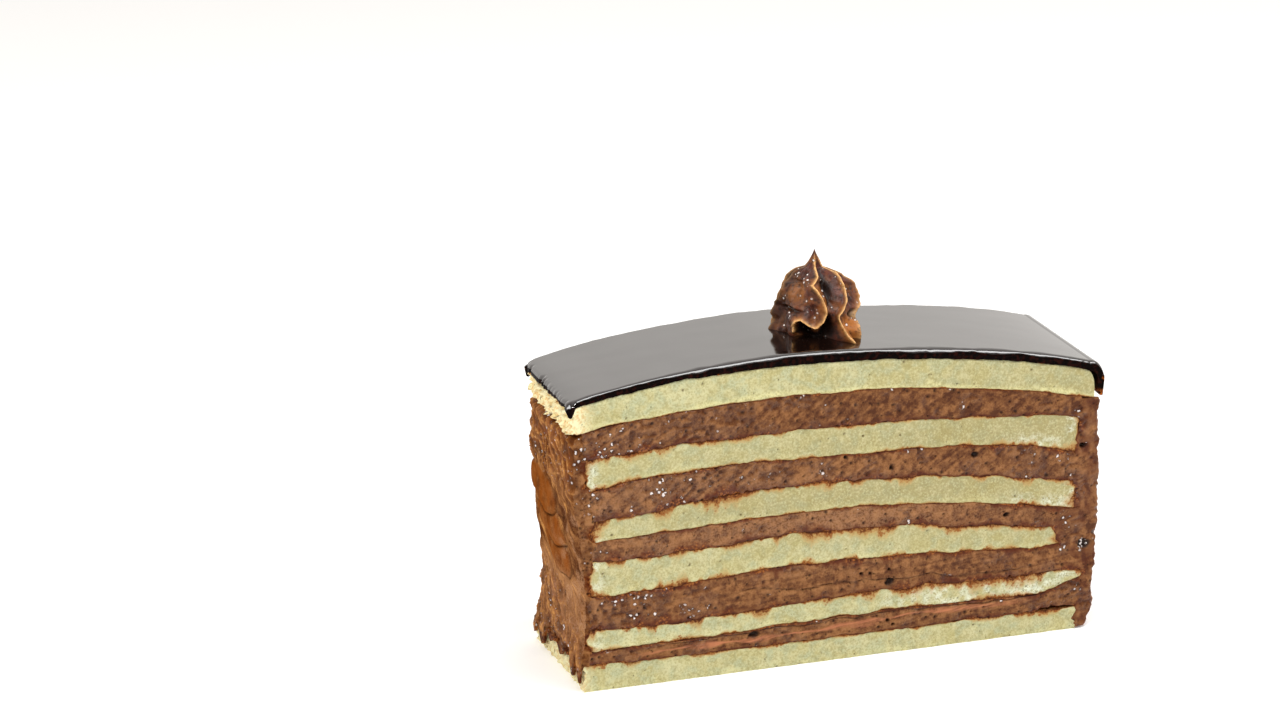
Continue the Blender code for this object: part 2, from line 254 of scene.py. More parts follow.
class Finish:
    # a material whose nodes are added by one method
    def __init__(self, name):
        self.material = bpy.data.materials.new(name)
        self.material.use_nodes = True
        self.tree = self.material.node_tree
        self.shader = self.tree.nodes["Principled BSDF"]
        self.place = None

    def node(self, kind, settings=None, values=None, output=0):
        made = self.tree.nodes.new(kind)
        for key, value in (settings or {}).items():
            setattr(made, key, value)
        for key, value in (values or {}).items():
            self.feed(made.inputs[key], value)
        return Wire(self, made.outputs[output])

    def feed(self, socket, value):
        if isinstance(value, Wire):
            self.tree.links.new(value.socket, socket)
        else:
            socket.default_value = value

    def mark(self, name):
        return self.node("ShaderNodeAttribute", {"attribute_name": name}, output=2)

    def where(self, stretch=(1, 1, 1)):
        # position in millimetres, drawn out along its axes
        if self.place is None:
            self.place = self.node("ShaderNodeTexCoord", output=3)
        return self.node("ShaderNodeVectorMath", {"operation": "MULTIPLY"},
                         {0: self.place, 1: [1 / mm / s for s in stretch]})

    def clouds(self, size, detail=2.0, stretch=(1, 1, 1), roughness=0.5):
        return self.node("ShaderNodeTexNoise", {}, {
            "Vector": self.where(stretch), "Scale": 1 / size, "Detail": detail,
            "Roughness": roughness})

    def dots(self, size):
        return self.node("ShaderNodeTexVoronoi", {}, {"Vector": self.where(), "Scale": 1 / size})

    def blend(self, first, second, share):
        return self.node("ShaderNodeMix", {"data_type": "RGBA"}, {0: share, 6: first, 7: second},
                         output=2)

    def layered(self, look, colour, *coats):
        # a look's colours laid over a first one, each by its own share
        for name, share in coats:
            colour = self.blend(colour, look[name], share)
        return colour

    def streaks(self, degrees, length, width):
        # fine marks on the cut faces, rising to the right at that angle from level
        turn = math.radians(degrees)
        place = self.where()
        along, across = (self.node("ShaderNodeVectorMath", {"operation": "DOT_PRODUCT"},
                                   {0: place, 1: direction}, output=1)
                         for direction in ((math.cos(turn) / length, 0, math.sin(turn) / length),
                                           (-math.sin(turn) / width, 0, math.cos(turn) / width)))
        return self.node("ShaderNodeTexNoise", {}, {
            "Vector": self.node("ShaderNodeCombineXYZ", {}, {"X": along, "Y": across}),
            "Scale": 1.0, "Detail": 2.0, "Roughness": 0.5})

    def bump(self, height, depth, strength=1.0, below=None):
        values = {"Height": height, "Distance": depth * mm, "Strength": strength}
        if below is not None:
            values["Normal"] = below
        return self.node("ShaderNodeBump", {}, values)

    def finished(self, **values):
        for key, value in values.items():
            self.feed(self.shader.inputs[key.replace("_", " ")], value)
        return self.material


spongeLook = {
    "crumb": paint(198, 190, 136), "pale": paint(212, 208, 162), "cool": paint(184, 190, 154),
    "deep": paint(156, 140, 92), "shade": paint(164, 152, 100), "speckAndPoreShade": paint(96, 78, 40),
    "tan": paint(192, 154, 92), "toast": paint(148, 86, 38), "burnt": paint(66, 26, 12),
    "torn": paint(255, 246, 200), "tornShade": paint(226, 172, 92), "open": paint(232, 236, 214),
    "light": paint(232, 226, 166), "patch": 6.0, "grain": 0.42,
}


def spongeFinish():
    f, look = Finish("dobosSponge"), spongeLook
    grain = f.clouds(look["grain"], 4, roughness=0.62)
    middle = f.clouds(1.5, 3)
    crumb = f.layered(
        look, look["crumb"],
        ("pale", f.clouds(look["patch"], 2).above(0.5, 0.14)),
        ("cool", f.clouds(2.6, 3).above(0.53, 0.09) * 0.8),
        # the sheets' own browner crumb, and painted shade towards the right end
        ("deep", f.mark("bakedAndShaded")),
        ("light", f.mark("light") * middle.above(0.36, 0.14)),
        ("shade", middle.under(0.42, 0.1) * 0.4),
        ("shade", grain.under(0.44, 0.07) * 0.55),
        ("pale", grain.above(0.57, 0.06) * 0.55),
        ("open", f.mark("open") * grain.above(0.45, 0.1)))
    # the torn ends' near-white crumb is partly the paler torn crumb and partly painted light, for
    # the strong light on the left end
    ragged = f.clouds(0.8, 4, roughness=0.6).under(0.44, 0.1) * 0.8
    fluff = f.blend(look["torn"], look["tornShade"], ragged)
    lively = (f.clouds(4.5, 2).above(0.52, 0.08) * 0.6 + f.mark("open")).within()
    # the browned skin fades into the crumb, and breaks up into loose crumbs in places
    skin = f.mark("edge") + (grain - 0.5) * 0.8 + (middle - 0.5) * 0.6
    loose = f.mark("edge") * 0.9 + (grain - 0.5) * 0.7 - f.dots(0.75) * 0.8
    loose = loose.above(0.2, 0.1) * f.clouds(3.4, 2).above(0.52, 0.06)
    colour = f.layered(
        look, f.blend(crumb, fluff, f.mark("torn")),
        # dark specks in the crumb, and painted shade in the pores cut into the faces
        ("speckAndPoreShade", f.dots(0.62).under(0.14, 0.06) * lively * 0.8),
        ("speckAndPoreShade", f.mark("pore").above(0.5, 0.3) * 0.75),
        ("tan", skin.above(0.5, 0.22) * 0.85),
        ("toast", skin.above(0.76, 0.12) * 0.9),
        ("toast", loose * 0.85),
        ("burnt", skin.above(0.92, 0.1) * 0.9))
    rise = f.bump(grain, 0.2, 0.9)
    return f.finished(Base_Color=colour, Roughness=0.9, Normal=rise, Specular_IOR_Level=0.2)


# glint is a painted highlight and pit painted shade; strand is a painted highlight, and ash partly a
# painted sheen
creamLook = {
    "body": paint(128, 82, 46), "light": paint(172, 120, 74), "dark": paint(70, 32, 14),
    "rust": paint(86, 34, 14), "shadedPit": paint(26, 10, 5), "smear": paint(196, 124, 86),
    "crumb": paint(162, 96, 44), "gold": paint(142, 74, 20), "strandHighlight": paint(222, 158, 88),
    "ashAndSheen": paint(176, 132, 98), "glint": paint(244, 234, 230),
}


def creamFinish(name, gloss):
    f, look = Finish(name), creamLook
    fine = f.clouds(0.42, 4, roughness=0.6)
    patch = f.clouds(2.2, 3)
    slanted, level = f.streaks(34, 3.6, 0.5), f.streaks(7, 5.0, 0.4)
    streak = level + (slanted - level) * f.mark("slant")
    grains = f.clouds(0.3, 2, roughness=0.6)
    toneAndShade = f.mark("toneAndShade") + (streak - 0.5) * 0.28 + (fine - 0.5) * 0.6 + (grains - 0.5) * 0.4
    wet = f.mark("wet")
    # red-brown where it has soaked the sheets' skins, with crumbs of them in places
    soaked = f.mark("edge") + (f.clouds(0.8, 4, roughness=0.6) - 0.5) * 0.9
    loose = f.mark("edge") * 0.8 + (fine - 0.5) * 0.9 - f.dots(0.6) * 0.8
    loose = loose.above(0.26, 0.12) * f.clouds(3.4, 2).above(0.5, 0.08)
    # clusters of wet beads, each a painted white highlight in a painted dark hollow
    glintBeads = f.dots(1.15) + (f.clouds(0.5, 2) - 0.5) * 0.8
    cluster = f.clouds(2.8, 1).above(0.65, 0.05) * wet.above(0.4, 0.15) * 0.9
    cluster = (cluster + f.mark("glintBeads")).within()
    colour = f.layered(
        look, look["body"],
        # lighter and darker by the tone, which follows the relief: painted light on its ridges,
        # painted shade in its grooves, with random tone
        ("light", toneAndShade.above(0.66, 0.18) * 0.75),
        ("dark", toneAndShade.under(0.36, 0.15) * 0.85),
        ("dark", patch.under(0.4, 0.1) * 0.3),
        ("rust", (f.mark("wash") * (0.2 + 1.2 * fine)).within() * 0.8),
        ("gold", f.mark("gold")),
        ("ashAndSheen", f.mark("ashAndSheen") * fine.above(0.45, 0.12)),
        ("smear", f.mark("smear") * (0.35 + 1.1 * level).within()),
        ("strandHighlight", f.mark("strandHighlight") * fine.above(0.4, 0.15)),
        ("dark", wet * patch.above(0.5, 0.08) * 0.55),
        ("rust", soaked.above(0.5, 0.25) * 0.85),
        ("dark", soaked.above(0.86, 0.1) * 0.9),
        ("crumb", loose * 0.75),
        # painted shade: near-black in the pits, cut bubbles, folds and seams, and around the beads
        ("shadedPit", f.mark("shadedPit")),
        ("shadedPit", glintBeads.under(0.38, 0.12) * cluster * 0.7),
        ("glint", (glintBeads - cluster * 0.1).under(0.14, 0.05) * cluster))
    rough = 0.6 - 0.35 * wet + 0.12 * (fine - 0.5)
    rise = f.bump(f.clouds(0.75, 2), 0.2, 0.55)
    rise = f.bump(fine, 0.1, 0.6, below=rise)
    return f.finished(Base_Color=colour, Roughness=rough, Normal=rise, Specular_IOR_Level=gloss,
                      Coat_Weight=wet * 0.15, Coat_Roughness=0.12)


glazeLook = {
    "top": paint(20, 10, 7), "streak": paint(34, 20, 15), "cut": paint(9, 3, 2),
    "ember": paint(58, 20, 12), "crumb": paint(176, 92, 32),
}


def glazeFinish():
    f, look = Finish("dobosGlaze"), glazeLook
    streaks = f.clouds(1.2, 3, stretch=(9, 1, 1))
    colour = f.blend(look["top"], look["streak"], streaks.above(0.6, 0.1) * 0.5)
    rough = 0.08 + 0.05 * streaks
    waves = f.bump(f.clouds(9.0, 1, stretch=(1.6, 1, 1)), 0.12, 0.5)
    return f.finished(Base_Color=colour, Roughness=rough, Normal=waves, IOR=1.9)


def glazeCutFinish():
    f, look = Finish("dobosGlazeCut"), glazeLook
    fine = f.clouds(0.5, 3)
    colour = f.layered(look, look["cut"],
                       ("ember", f.clouds(1.1, 3).above(0.58, 0.08) * 0.45),
                       ("crumb", f.mark("bits") * fine.above(0.5, 0.08)))
    rise = f.bump(f.clouds(0.7, 3), 0.3, 0.9)
    return f.finished(Base_Color=colour, Roughness=0.38 + 0.3 * fine, Normal=rise,
                      Specular_IOR_Level=0.03)


# ridge is a painted highlight, warm partly painted light, and glint a painted highlight
rosetteLook = {
    "body": paint(76, 36, 22), "dark": paint(18, 6, 3), "litRidge": paint(255, 196, 124),
    "warmAndLit": paint(178, 110, 50), "rust": paint(96, 36, 14), "glint": paint(255, 240, 232),
}


def rosetteFinish():
    f, look = Finish("dobosRosette"), rosetteLook
    fine = f.clouds(0.7, 3)
    # warm tone at random, and painted light on the lit lobe, flank and beside the ridges
    warmthAndLight = f.clouds(2.6, 3).above(0.55, 0.08) * 0.3 + f.mark("warmAndLit")
    glintBeads = f.dots(1.0) + (f.clouds(0.5, 2) - 0.5) * 0.7
    wet = (f.clouds(2.6, 1).above(0.62, 0.05) + f.mark("glintBeads")).within()
    colour = f.layered(
        look, look["body"],
        ("rust", f.clouds(1.6, 3).above(0.54, 0.06) * 0.7),
        ("warmAndLit", warmthAndLight.within()),
        # painted shade in the valleys and hollows
        ("dark", f.mark("shadedValley") * 0.95),
        ("dark", f.clouds(1.1, 3).under(0.42, 0.06) * 0.6),
        ("litRidge", f.mark("litRidge") * fine.above(0.34, 0.2)),
        # painted shade around each bead, and a painted white highlight on it
        ("dark", glintBeads.under(0.4, 0.1) * wet * 0.6),
        ("glint", glintBeads.under(0.2, 0.05) * wet))
    rise = f.bump(f.clouds(0.8, 3), 0.2, 0.6)
    rise = f.bump(f.clouds(0.3, 2), 0.05, 0.5, below=rise)
    return f.finished(Base_Color=colour, Roughness=0.3 + 0.2 * fine, Normal=rise,
                      Specular_IOR_Level=0.35)


finishes = {"sponge": spongeFinish(), "cream": creamFinish("dobosButtercream", 0.18),
            "coat": creamFinish("dobosCoat", 0.0), "glaze": glazeFinish(),
            "glazeCut": glazeCutFinish(), "rosette": rosetteFinish()}
print("finishes made:", ", ".join(finishes))


layerNames = ["sponge_1", "cream_1", "sponge_2", "cream_2", "sponge_3", "cream_3", "sponge_4",
              "cream_4", "sponge_5", "cream_5", "sponge_6", "glaze"]
rowPlaces = (-15.5, 0.0, 15.5)          # where the solids are sampled from front to back
alongX = np.arange(-59.0, 59.1, 1.0)    # and from end to end
onFlat = np.abs(alongX) < 55.5          # where the glaze lies on its sheet, clear of the bend
trees = {name: BVHTree.FromPolygons([v.co / mm for v in node.data.vertices],
                                    [p.vertices for p in node.data.polygons])
         for name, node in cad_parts.items()}


def boxOf(name):
    low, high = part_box(name)
    return low / mm, high / mm


def cast(tree, start, direction):
    hit = tree.ray_cast(Vector(start), Vector(direction))[0]
    return hit if hit else Vector((math.nan,) * 3)


def columnHeights(name, start, direction):
    return np.array([[cast(trees[name], (x, y, start), (0, 0, direction)).z for y in rowPlaces]
                     for x in alongX])


def drawnOut(places, column, fitted=6):
    # the missing ends of a column of heights, drawn out with the slope that it ends with
    known = np.flatnonzero(~np.isnan(column))
    first, last = known[0], known[-1]
    column = np.interp(places, places[known], column[known])
    for inside, end, beyond in ((slice(first, first + fitted), first, slice(0, first)),
                                (slice(last - fitted + 1, last + 1), last, slice(last + 1, None))):
        slope = np.polyfit(places[inside], column[inside], 1)[0]
        column[beyond] = column[end] + slope * (places[beyond] - places[end])
    return column


def readLevels():
    tops = [columnHeights(name, 200.0, -1) for name in layerNames]
    lows = [columnHeights(name, -50.0, 1) for name in layerNames]
    levels = [np.zeros_like(tops[0])]
    for below in range(len(layerNames) - 1):
        gap = lows[below + 1] - tops[below]
        proper = (gap > 0.1) & (gap < 0.6)
        heights = np.where(proper, (lows[below + 1] + tops[below]) / 2, math.nan)
        levels.append(np.stack([drawnOut(alongX, column) for column in heights.T], 1))
    flat = np.where(onFlat[:, None], tops[-1], math.nan)
    levels.append(np.stack([drawnOut(alongX, column) for column in flat.T], 1))
    return levels


levelTables = readLevels()


def level(number, x, y):
    # height of the boundary under the layer of that number
    rows = [np.interp(x, alongX, column) for column in levelTables[number].T]
    low, middle, high = rowPlaces
    front = mix(rows[0], rows[1], (y - low) / (middle - low))
    back = mix(rows[1], rows[2], (y - middle) / (high - middle))
    return np.where(y < middle, front, back)


class EndField:
    # where a solid begins, seen from the left or the right, over depth and height
    def __init__(self, name, start, direction, lowest, highest, beyond=44.0):
        self.depths = np.linspace(-halfDepth + 0.4, halfDepth - 0.4, 23)
        self.heights = np.linspace(lowest, highest, 60)
        found = np.array([[cast(trees[name], (start, y, z), (direction, 0, 0)).x
                           for z in self.heights] for y in self.depths])
        found[~(np.abs(found) > beyond)] = math.nan
        for row in found:
            known = ~np.isnan(row)
            row[:] = np.interp(self.heights, self.heights[known], row[known])
        self.found = found

    def at(self, y, z):
        i = np.interp(y, self.depths, np.arange(len(self.depths)))
        j = np.interp(z, self.heights, np.arange(len(self.heights)))
        i0 = np.minimum(i.astype(int), len(self.depths) - 2)
        j0 = np.minimum(j.astype(int), len(self.heights) - 2)
        fi, fj = i - i0, j - j0
        t = self.found
        return (t[i0, j0] * (1 - fi) * (1 - fj) + t[i0 + 1, j0] * fi * (1 - fj)
                + t[i0, j0 + 1] * (1 - fi) * fj + t[i0 + 1, j0 + 1] * fi * fj)


leftTop = boxOf("coat_left")[1].z
rightTop = boxOf("coat_right")[1].z
leftInner = EndField("coat_left", 0.0, -1, 6.2, leftTop - 0.6)
leftOuter = EndField("coat_left", -100.0, 1, 1.0, leftTop - 0.2)
rightInner = EndField("coat_right", 0.0, 1, 0.5, rightTop - 0.6)
rightOuter = EndField("coat_right", 100.0, -1, 0.45, rightTop - 0.2)
baseLeft = EndField("sponge_1", -100.0, 1, 0.1, 5.4)
topLeft = EndField("sponge_6", -100.0, 1, 54.3, 59.2)
topRightX = boxOf("sponge_6")[1].x
print("fields read from", len(trees), "solids")


# how brown each sheet's crumb is, with painted shade that darkens the sheets towards the right end,
# where the lamps light them more: height, then values from the left end to the right one
crumbTonesAndShade = ((3.0, (0, 0, 0.05, 0.05, 0.1)), (11.0, (0, 0, 0, 0.1, 0.2)),
              (23.0, (0.15, 0.1, 0.15, 0.3, 0.4)), (34.0, (0.2, 0.45, 0.55, 0.6, 0.5)),
              (46.0, (0.2, 0.35, 0.45, 0.6, 0.65)), (60.0, (0, 0, 0.12, 0.25, 0.35)))
layerSettings = {
    "step": 0.25,               # width of a cell on the cut faces
    "cellsY": 6, "tornCellsY": 84,
    "faceInset": 0.28,          # mean depth of the cut faces inside the solids' box
    "cutLimits": (-1.2, 0.24),  # how far a cut face may lie in and out from there
    "wobble": 0.27, "endWobble": 0.6,
    "coatOverlap": 0.25,        # how far the coats reach into the ends of the cream layers
}
stationPlaces = np.linspace(-54.0, 54.0, 5)
# reach of the browned skin at each boundary, at five places from left to right, and its waviness
skins = {
    1: ((0.6, 0.35, 0.25, 0.3, 0.7), 0.7), 2: ((0.6, 0.5, 0.4, 0.5, 0.6), 0.8),
    3: ((1.5, 1.1, 0.6, 1.3, 1.1), 1.1), 4: ((0.9, 1.1, 0.9, 0.9, 0.4), 1.0),
    5: ((1.1, 0.9, 1.2, 0.8, 0.5), 1.1), 6: ((0.4, 0.35, 0.35, 0.4, 0.9), 0.6),
    7: ((1.2, 1.3, 1.0, 0.45, 0.8), 1.1), 8: ((0.6, 0.4, 0.35, 0.5, 1.0), 0.8),
    9: ((1.1, 0.6, 0.4, 0.35, 0.5), 0.8), 10: ((0.2, 0.15, 0.15, 0.2, 0.3), 0.5),
}


def boundary(number, x, y):
    # a level with the uneven edge that spreading leaves
    waviness = layerSettings["wobble"] * skins.get(number, ((), 0.6 if number else 0.0))[1]
    uneven = (0.9 * cloud(x, y, 0, 5.0, 31 + number) + 0.35 * cloud(x, y, 0, 1.3, 61 + number)
              + 0.2 * cloud(x, y, 0, 0.55, 91 + number))
    return level(number, x, y) + waviness * uneven


def fading(distance, width):
    # 1 at a line, a half at that distance from it and 0 twice as far away
    return 0.5 + 0.5 * np.clip(1 - distance / width, -1, 1)


def skinEdge(number, x, side, distance, seed):
    # how brown the crumb is beside a boundary
    if number not in skins:
        return 0.0
    width = np.interp(x, stationPlaces, skins[number][0])
    width = width * np.maximum(0.12, 0.75 + 0.9 * cloud(x, side, 0, 3.5, seed)
                               + 0.4 * cloud(x, side, 0, 1.1, seed + 1))
    return fading(distance, width)


def endWall(inner, y, z, seed):
    ragged = 0.7 * cloud(y, z, 0, 2.2, seed) + 0.5 * cloud(y, z, 0, 0.8, seed + 1)
    return inner.at(y, z) + layerSettings["endWobble"] * ragged


def leftWall(y, z):
    return endWall(leftInner, y, z, 21)


def rightWall(y, z):
    return endWall(rightInner, y, z, 25)


gaps = ((1, 45.2, 54.6, 0.8), (10, -55.0, -46.0, 0.25))    # open slits: level, from x, to x, height


def slit(number, x):
    opening = 0.0 * x
    for at, start, end, height in gaps:
        if at == number:
            along = np.clip((x - start) / (end - start), 0, 1)
            opening = opening + height * np.sin(along * math.pi) ** 0.7
    return opening


def layerPlaces(number, u, v, w, leftEnd, rightEnd):
    # a point's height depends on its place and its place on its height: a few rounds settle both
    inset = layerSettings["faceInset"]
    y = mix(-halfDepth + inset, halfDepth - inset, v)
    x = mix(-55.0, 54.0, u)
    for _ in range(4):
        low = boundary(number, x, y) + slit(number, x)
        high = boundary(number + 1, x, y)
        z = mix(low, high, w)
        x = mix(leftEnd(y, z), rightEnd(y, z), u)
    return x, y, z, high - low


def rounded(distance, radius):
    # how far a corner of that radius falls back, at a distance from it
    inward = np.clip(radius - distance, 0, radius)
    return radius - np.sqrt(np.maximum(radius ** 2 - inward ** 2, 0))


def cutFaces(v):
    # -1 on the front face, 1 on the back one, 0 between
    return np.where(v == 0, -1.0, np.where(v == 1, 1.0, 0.0))


def ownPart(face):
    # the back face takes its unevenness from a part of the clouds of its own
    return np.where(face > 0, 50.0, 0.0)


def makeSponge(number, name):
    s = layerSettings
    torn = name in ("sponge_1", "sponge_6")
    leftEnd, rightEnd = leftWall, rightWall
    if name == "sponge_1":
        leftEnd = baseLeft.at
    if name == "sponge_6":
        leftEnd = topLeft.at

        def rightEnd(y, z):
            over = np.clip((z - level(number, 57.0, y)) / 6.0, 0, 1)
            return topRightX - 0.05 - 1.4 * over ** 4
    cells = (int(112 / s["step"]), s["tornCellsY"] if torn else s["cellsY"], int(6.0 / s["step"]))
    u, v, w, faces, _ = boxShell(cells)
    x, y, z, thick = layerPlaces(number, u, v, w, leftEnd, rightEnd)
    face = cutFaces(v)
    seed = 100 + 10 * number
    side = ownPart(face)
    fromLow, fromHigh = w * thick, (1 - w) * thick
    fromLeft, fromRight = x - leftEnd(y, z), rightEnd(y, z) - x
    # where the crumb is open and pale: low down on the right, and at the ends
    opened = ease((x - 34.0) / 12.0) * ease(1.3 - fromLow / 2.6) * (number in (6, 8))
    opened = np.maximum(opened, ease(1.3 - fromRight / 2.5) * (number in (2, 6, 8)))
    opened = np.maximum(opened, 0.8 * ease((x - 6.0) / 12.0) * (number == 2))
    opened = np.maximum(opened, 0.7 * ease(1.4 - fromLeft / 3.0) * (0 < number < 10))
    opened = opened * (0.55 + 0.6 * cloud(x, side, z, 1.4, seed + 9))
    pore = np.maximum(pits(x + side, z, 1.3, seed + 2, 0.06 + 0.5 * opened, 0.2),
                      pits(x + side, z, 3.1, seed + 3, 0.12, 0.28))
    out = (0.05 * cloud(x, side, z, 0.6, seed, 2) + 0.11 * cloud(x, side, z, 2.6, seed + 1, 2)
           + 0.16 * opened * cloud(x, side, z, 0.8, seed + 8) - 0.28 * pore)
    out = out - 0.2 * ease(1 - np.minimum(fromLow, fromHigh) / 0.4)
    y = y + face * out
    edge = np.maximum(skinEdge(number, x, side, fromLow, seed + 4),
                      skinEdge(number + 1, x, side, fromHigh, seed + 5))
    if 0 < number < 10:
        endReach = 1.7 * np.maximum(0.2, 0.7 + 0.6 * cloud(side, z, 0, 1.5, seed + 6))
        endEdge = np.maximum(1 - fromLeft / endReach, 0.8 - fromRight / endReach)
        edge = np.maximum(edge, 0.5 + 0.5 * np.clip(endEdge, -1, 1))
    edge = np.where((face == 0) & ((w == 0) | (w == 1)), 0.8, edge)
    ends = 0.0
    if torn:
        left = u == 0
        rag = 0.6 * cloud(y, z, 0, 1.5, seed + 6, 3) + 0.5 * cloud(y, z, 0, 0.7, seed + 7)
        x = x + (rag * (1.4 if name == "sponge_6" else 0.5) + 0.45) * ease(1 - fromLeft / 3.0)
        # where the torn end's near-white colour shows, partly painted light
        ends = ease((-52.5 - x) / 5.0) * (0.9 if name == "sponge_6" else 0.5)
        ends = np.where(left, 1.0 if name == "sponge_6" else 0.7, ends)
        if name == "sponge_6":
            teeth = 0.2 + 0.9 * cloud(y, 0, 0, 1.5, seed + 8, 2)
            z = z + np.clip(teeth, -0.1, 1.0) * ease(1 - fromLeft / 1.6) * ease(1 - fromLow / 1.2)
            edge = np.where(left, 0.75 * ease(1.1 - fromHigh / (0.9 + 0.8 * teeth)), edge)
        else:
            edge = np.where(left, 0.62 * ease(1 - np.abs(coatBottom(y)[0] - z) / 1.3), edge)
        pore = np.where(left, pits(y, z, 1.2, seed + 9, 0.35, 0.3), pore)
        if name == "sponge_1":
            z = np.maximum(z, 0.0)
    light = ease(1.2 - fromLow / (1.3 + 0.8 * cloud(x, side, 0, 5.0, seed + 10, 2)))
    light = light * (0.85 if number == 10 else 0.4)
    marks = {"pore": np.where((face != 0) | (u == 0), pore, 0), "edge": edge, "torn": ends,
             "open": opened, "light": light, "bakedAndShaded": table(crumbTonesAndShade, x, z)}
    piece = makePiece(name.replace("_", "Sheet"), (x, y, z), faces, [finishes["sponge"]], marks)
    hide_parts(name)


cutSettings = {
    # tables of the height, then values from the left end to the right one: how wet the
    # buttercream is, how strong the knife's marks are, how much darker, how greyish and light it
    # is, and how dark and red just above each sheet
    "wetness": ((7.0, (0.5, 0.4, 0.2, 0.4, 0.7)), (18.0, (0.9, 0.6, 0.1, 0.15, 0.4)),
                (31.0, (0.6, 0.45, 0.2, 0.2, 0.6)), (42.0, (0.9, 0.9, 0.45, 0.4, 0.6)),
                (54.0, (1.0, 0.8, 0.3, 0.2, 0.25))),
    "drag": ((31.0, (0.42, 0.42, 0.42, 0.42, 0.42)), (42.0, (1.0, 0.85, 0.7, 0.55, 0.5)),
             (54.0, (0.9, 0.55, 0.32, 0.27, 0.32))),
    "dim": ((42.0, (0.0, 0.0, 0.0, 0.06, 0.05)), (54.0, (0.0, 0.04, 0.12, 0.14, 0.12))),
    "ashAndSheen": ((18.0, (0.0, 0.0, 0.05, 0.05, 0.0)), (31.0, (0.15, 0.35, 0.5, 0.25, 0.1)),
            (42.0, (0.25, 0.15, 0.05, 0.0, 0.0)), (54.0, (0.0, 0.0, 0.0, 0.0, 0.0))),
    "wash": ((7.0, (0.3, 0.2, 0.2, 0.3, 0.5)), (18.0, (0.9, 0.8, 0.6, 0.5, 0.6)),
             (31.0, (0.9, 0.8, 0.6, 0.6, 0.8)), (42.0, (0.9, 0.9, 0.9, 0.8, 0.8)),
             (50.0, (1.0, 0.8, 0.45, 0.55, 0.6)), (56.0, (1.0, 1.0, 1.1, 1.1, 0.9))),
    # bubbles cut open: x, z, half width, half height
    "bubbles": ((-19.1, 7.9, 1.1, 0.6), (11.2, 15.8, 0.9, 0.8), (37.6, 27.5, 0.7, 0.5),
                (30.0, 41.5, 0.7, 0.6), (11.0, 40.6, 0.45, 0.4), (0.7, 43.9, 0.4, 0.35),
                (10.9, 7.4, 0.35, 0.4), (12.1, 6.3, 0.3, 0.3), (4.8, 18.3, 0.4, 0.3),
                (6.8, 18.1, 0.35, 0.3), (11.1, 18.5, 0.3, 0.3), (55.9, 19.1, 1.4, 1.1),
                (47.9, 30.4, 0.6, 0.4), (55.0, 41.0, 0.8, 0.5)),
    # wet beads on the front face, painted as white highlights in dark hollows: x, z, half width,
    # half height of each cluster
    "glintBeads": ((-48.9, 54.3, 1.9, 1.4), (-50.8, 50.6, 1.6, 1.8), (-46.0, 51.0, 2.1, 1.6),
              (-56.6, 50.2, 1.8, 2.4), (-39.2, 43.6, 2.4, 0.9), (-39.9, 40.6, 2.3, 1.2),
              (-53.8, 39.4, 1.3, 2.4), (-45.2, 37.8, 0.8, 0.6), (49.6, 38.8, 1.8, 0.9),
              (51.8, 34.5, 0.9, 0.7), (52.0, 24.8, 1.9, 1.7), (56.2, 18.9, 1.9, 1.5),
              (-43.6, 18.7, 3.4, 1.1), (-49.4, 18.9, 1.6, 0.7), (-30.8, 15.2, 3.2, 0.7),
              (-43.2, 15.3, 4.6, 0.6), (36.8, 7.9, 0.8, 1.2), (-7.0, 43.6, 0.7, 0.5),
              (-21.9, 42.0, 0.7, 0.5), (-51.1, 29.7, 1.4, 0.7), (14.5, 20.5, 0.7, 0.5)),
}


def patchesAt(x, z, face, patches, ragged, reach, fall):
    # 1 inside some ovals on the front face and 0 away from them
    found = 0.0 * x
    for at, height, halfWidth, halfHeight in patches:
        far = np.hypot((x - at) / halfWidth, (z - height) / halfHeight) + ragged
        found = np.maximum(found, ease(reach - fall * far))
    return found * (face < 0)


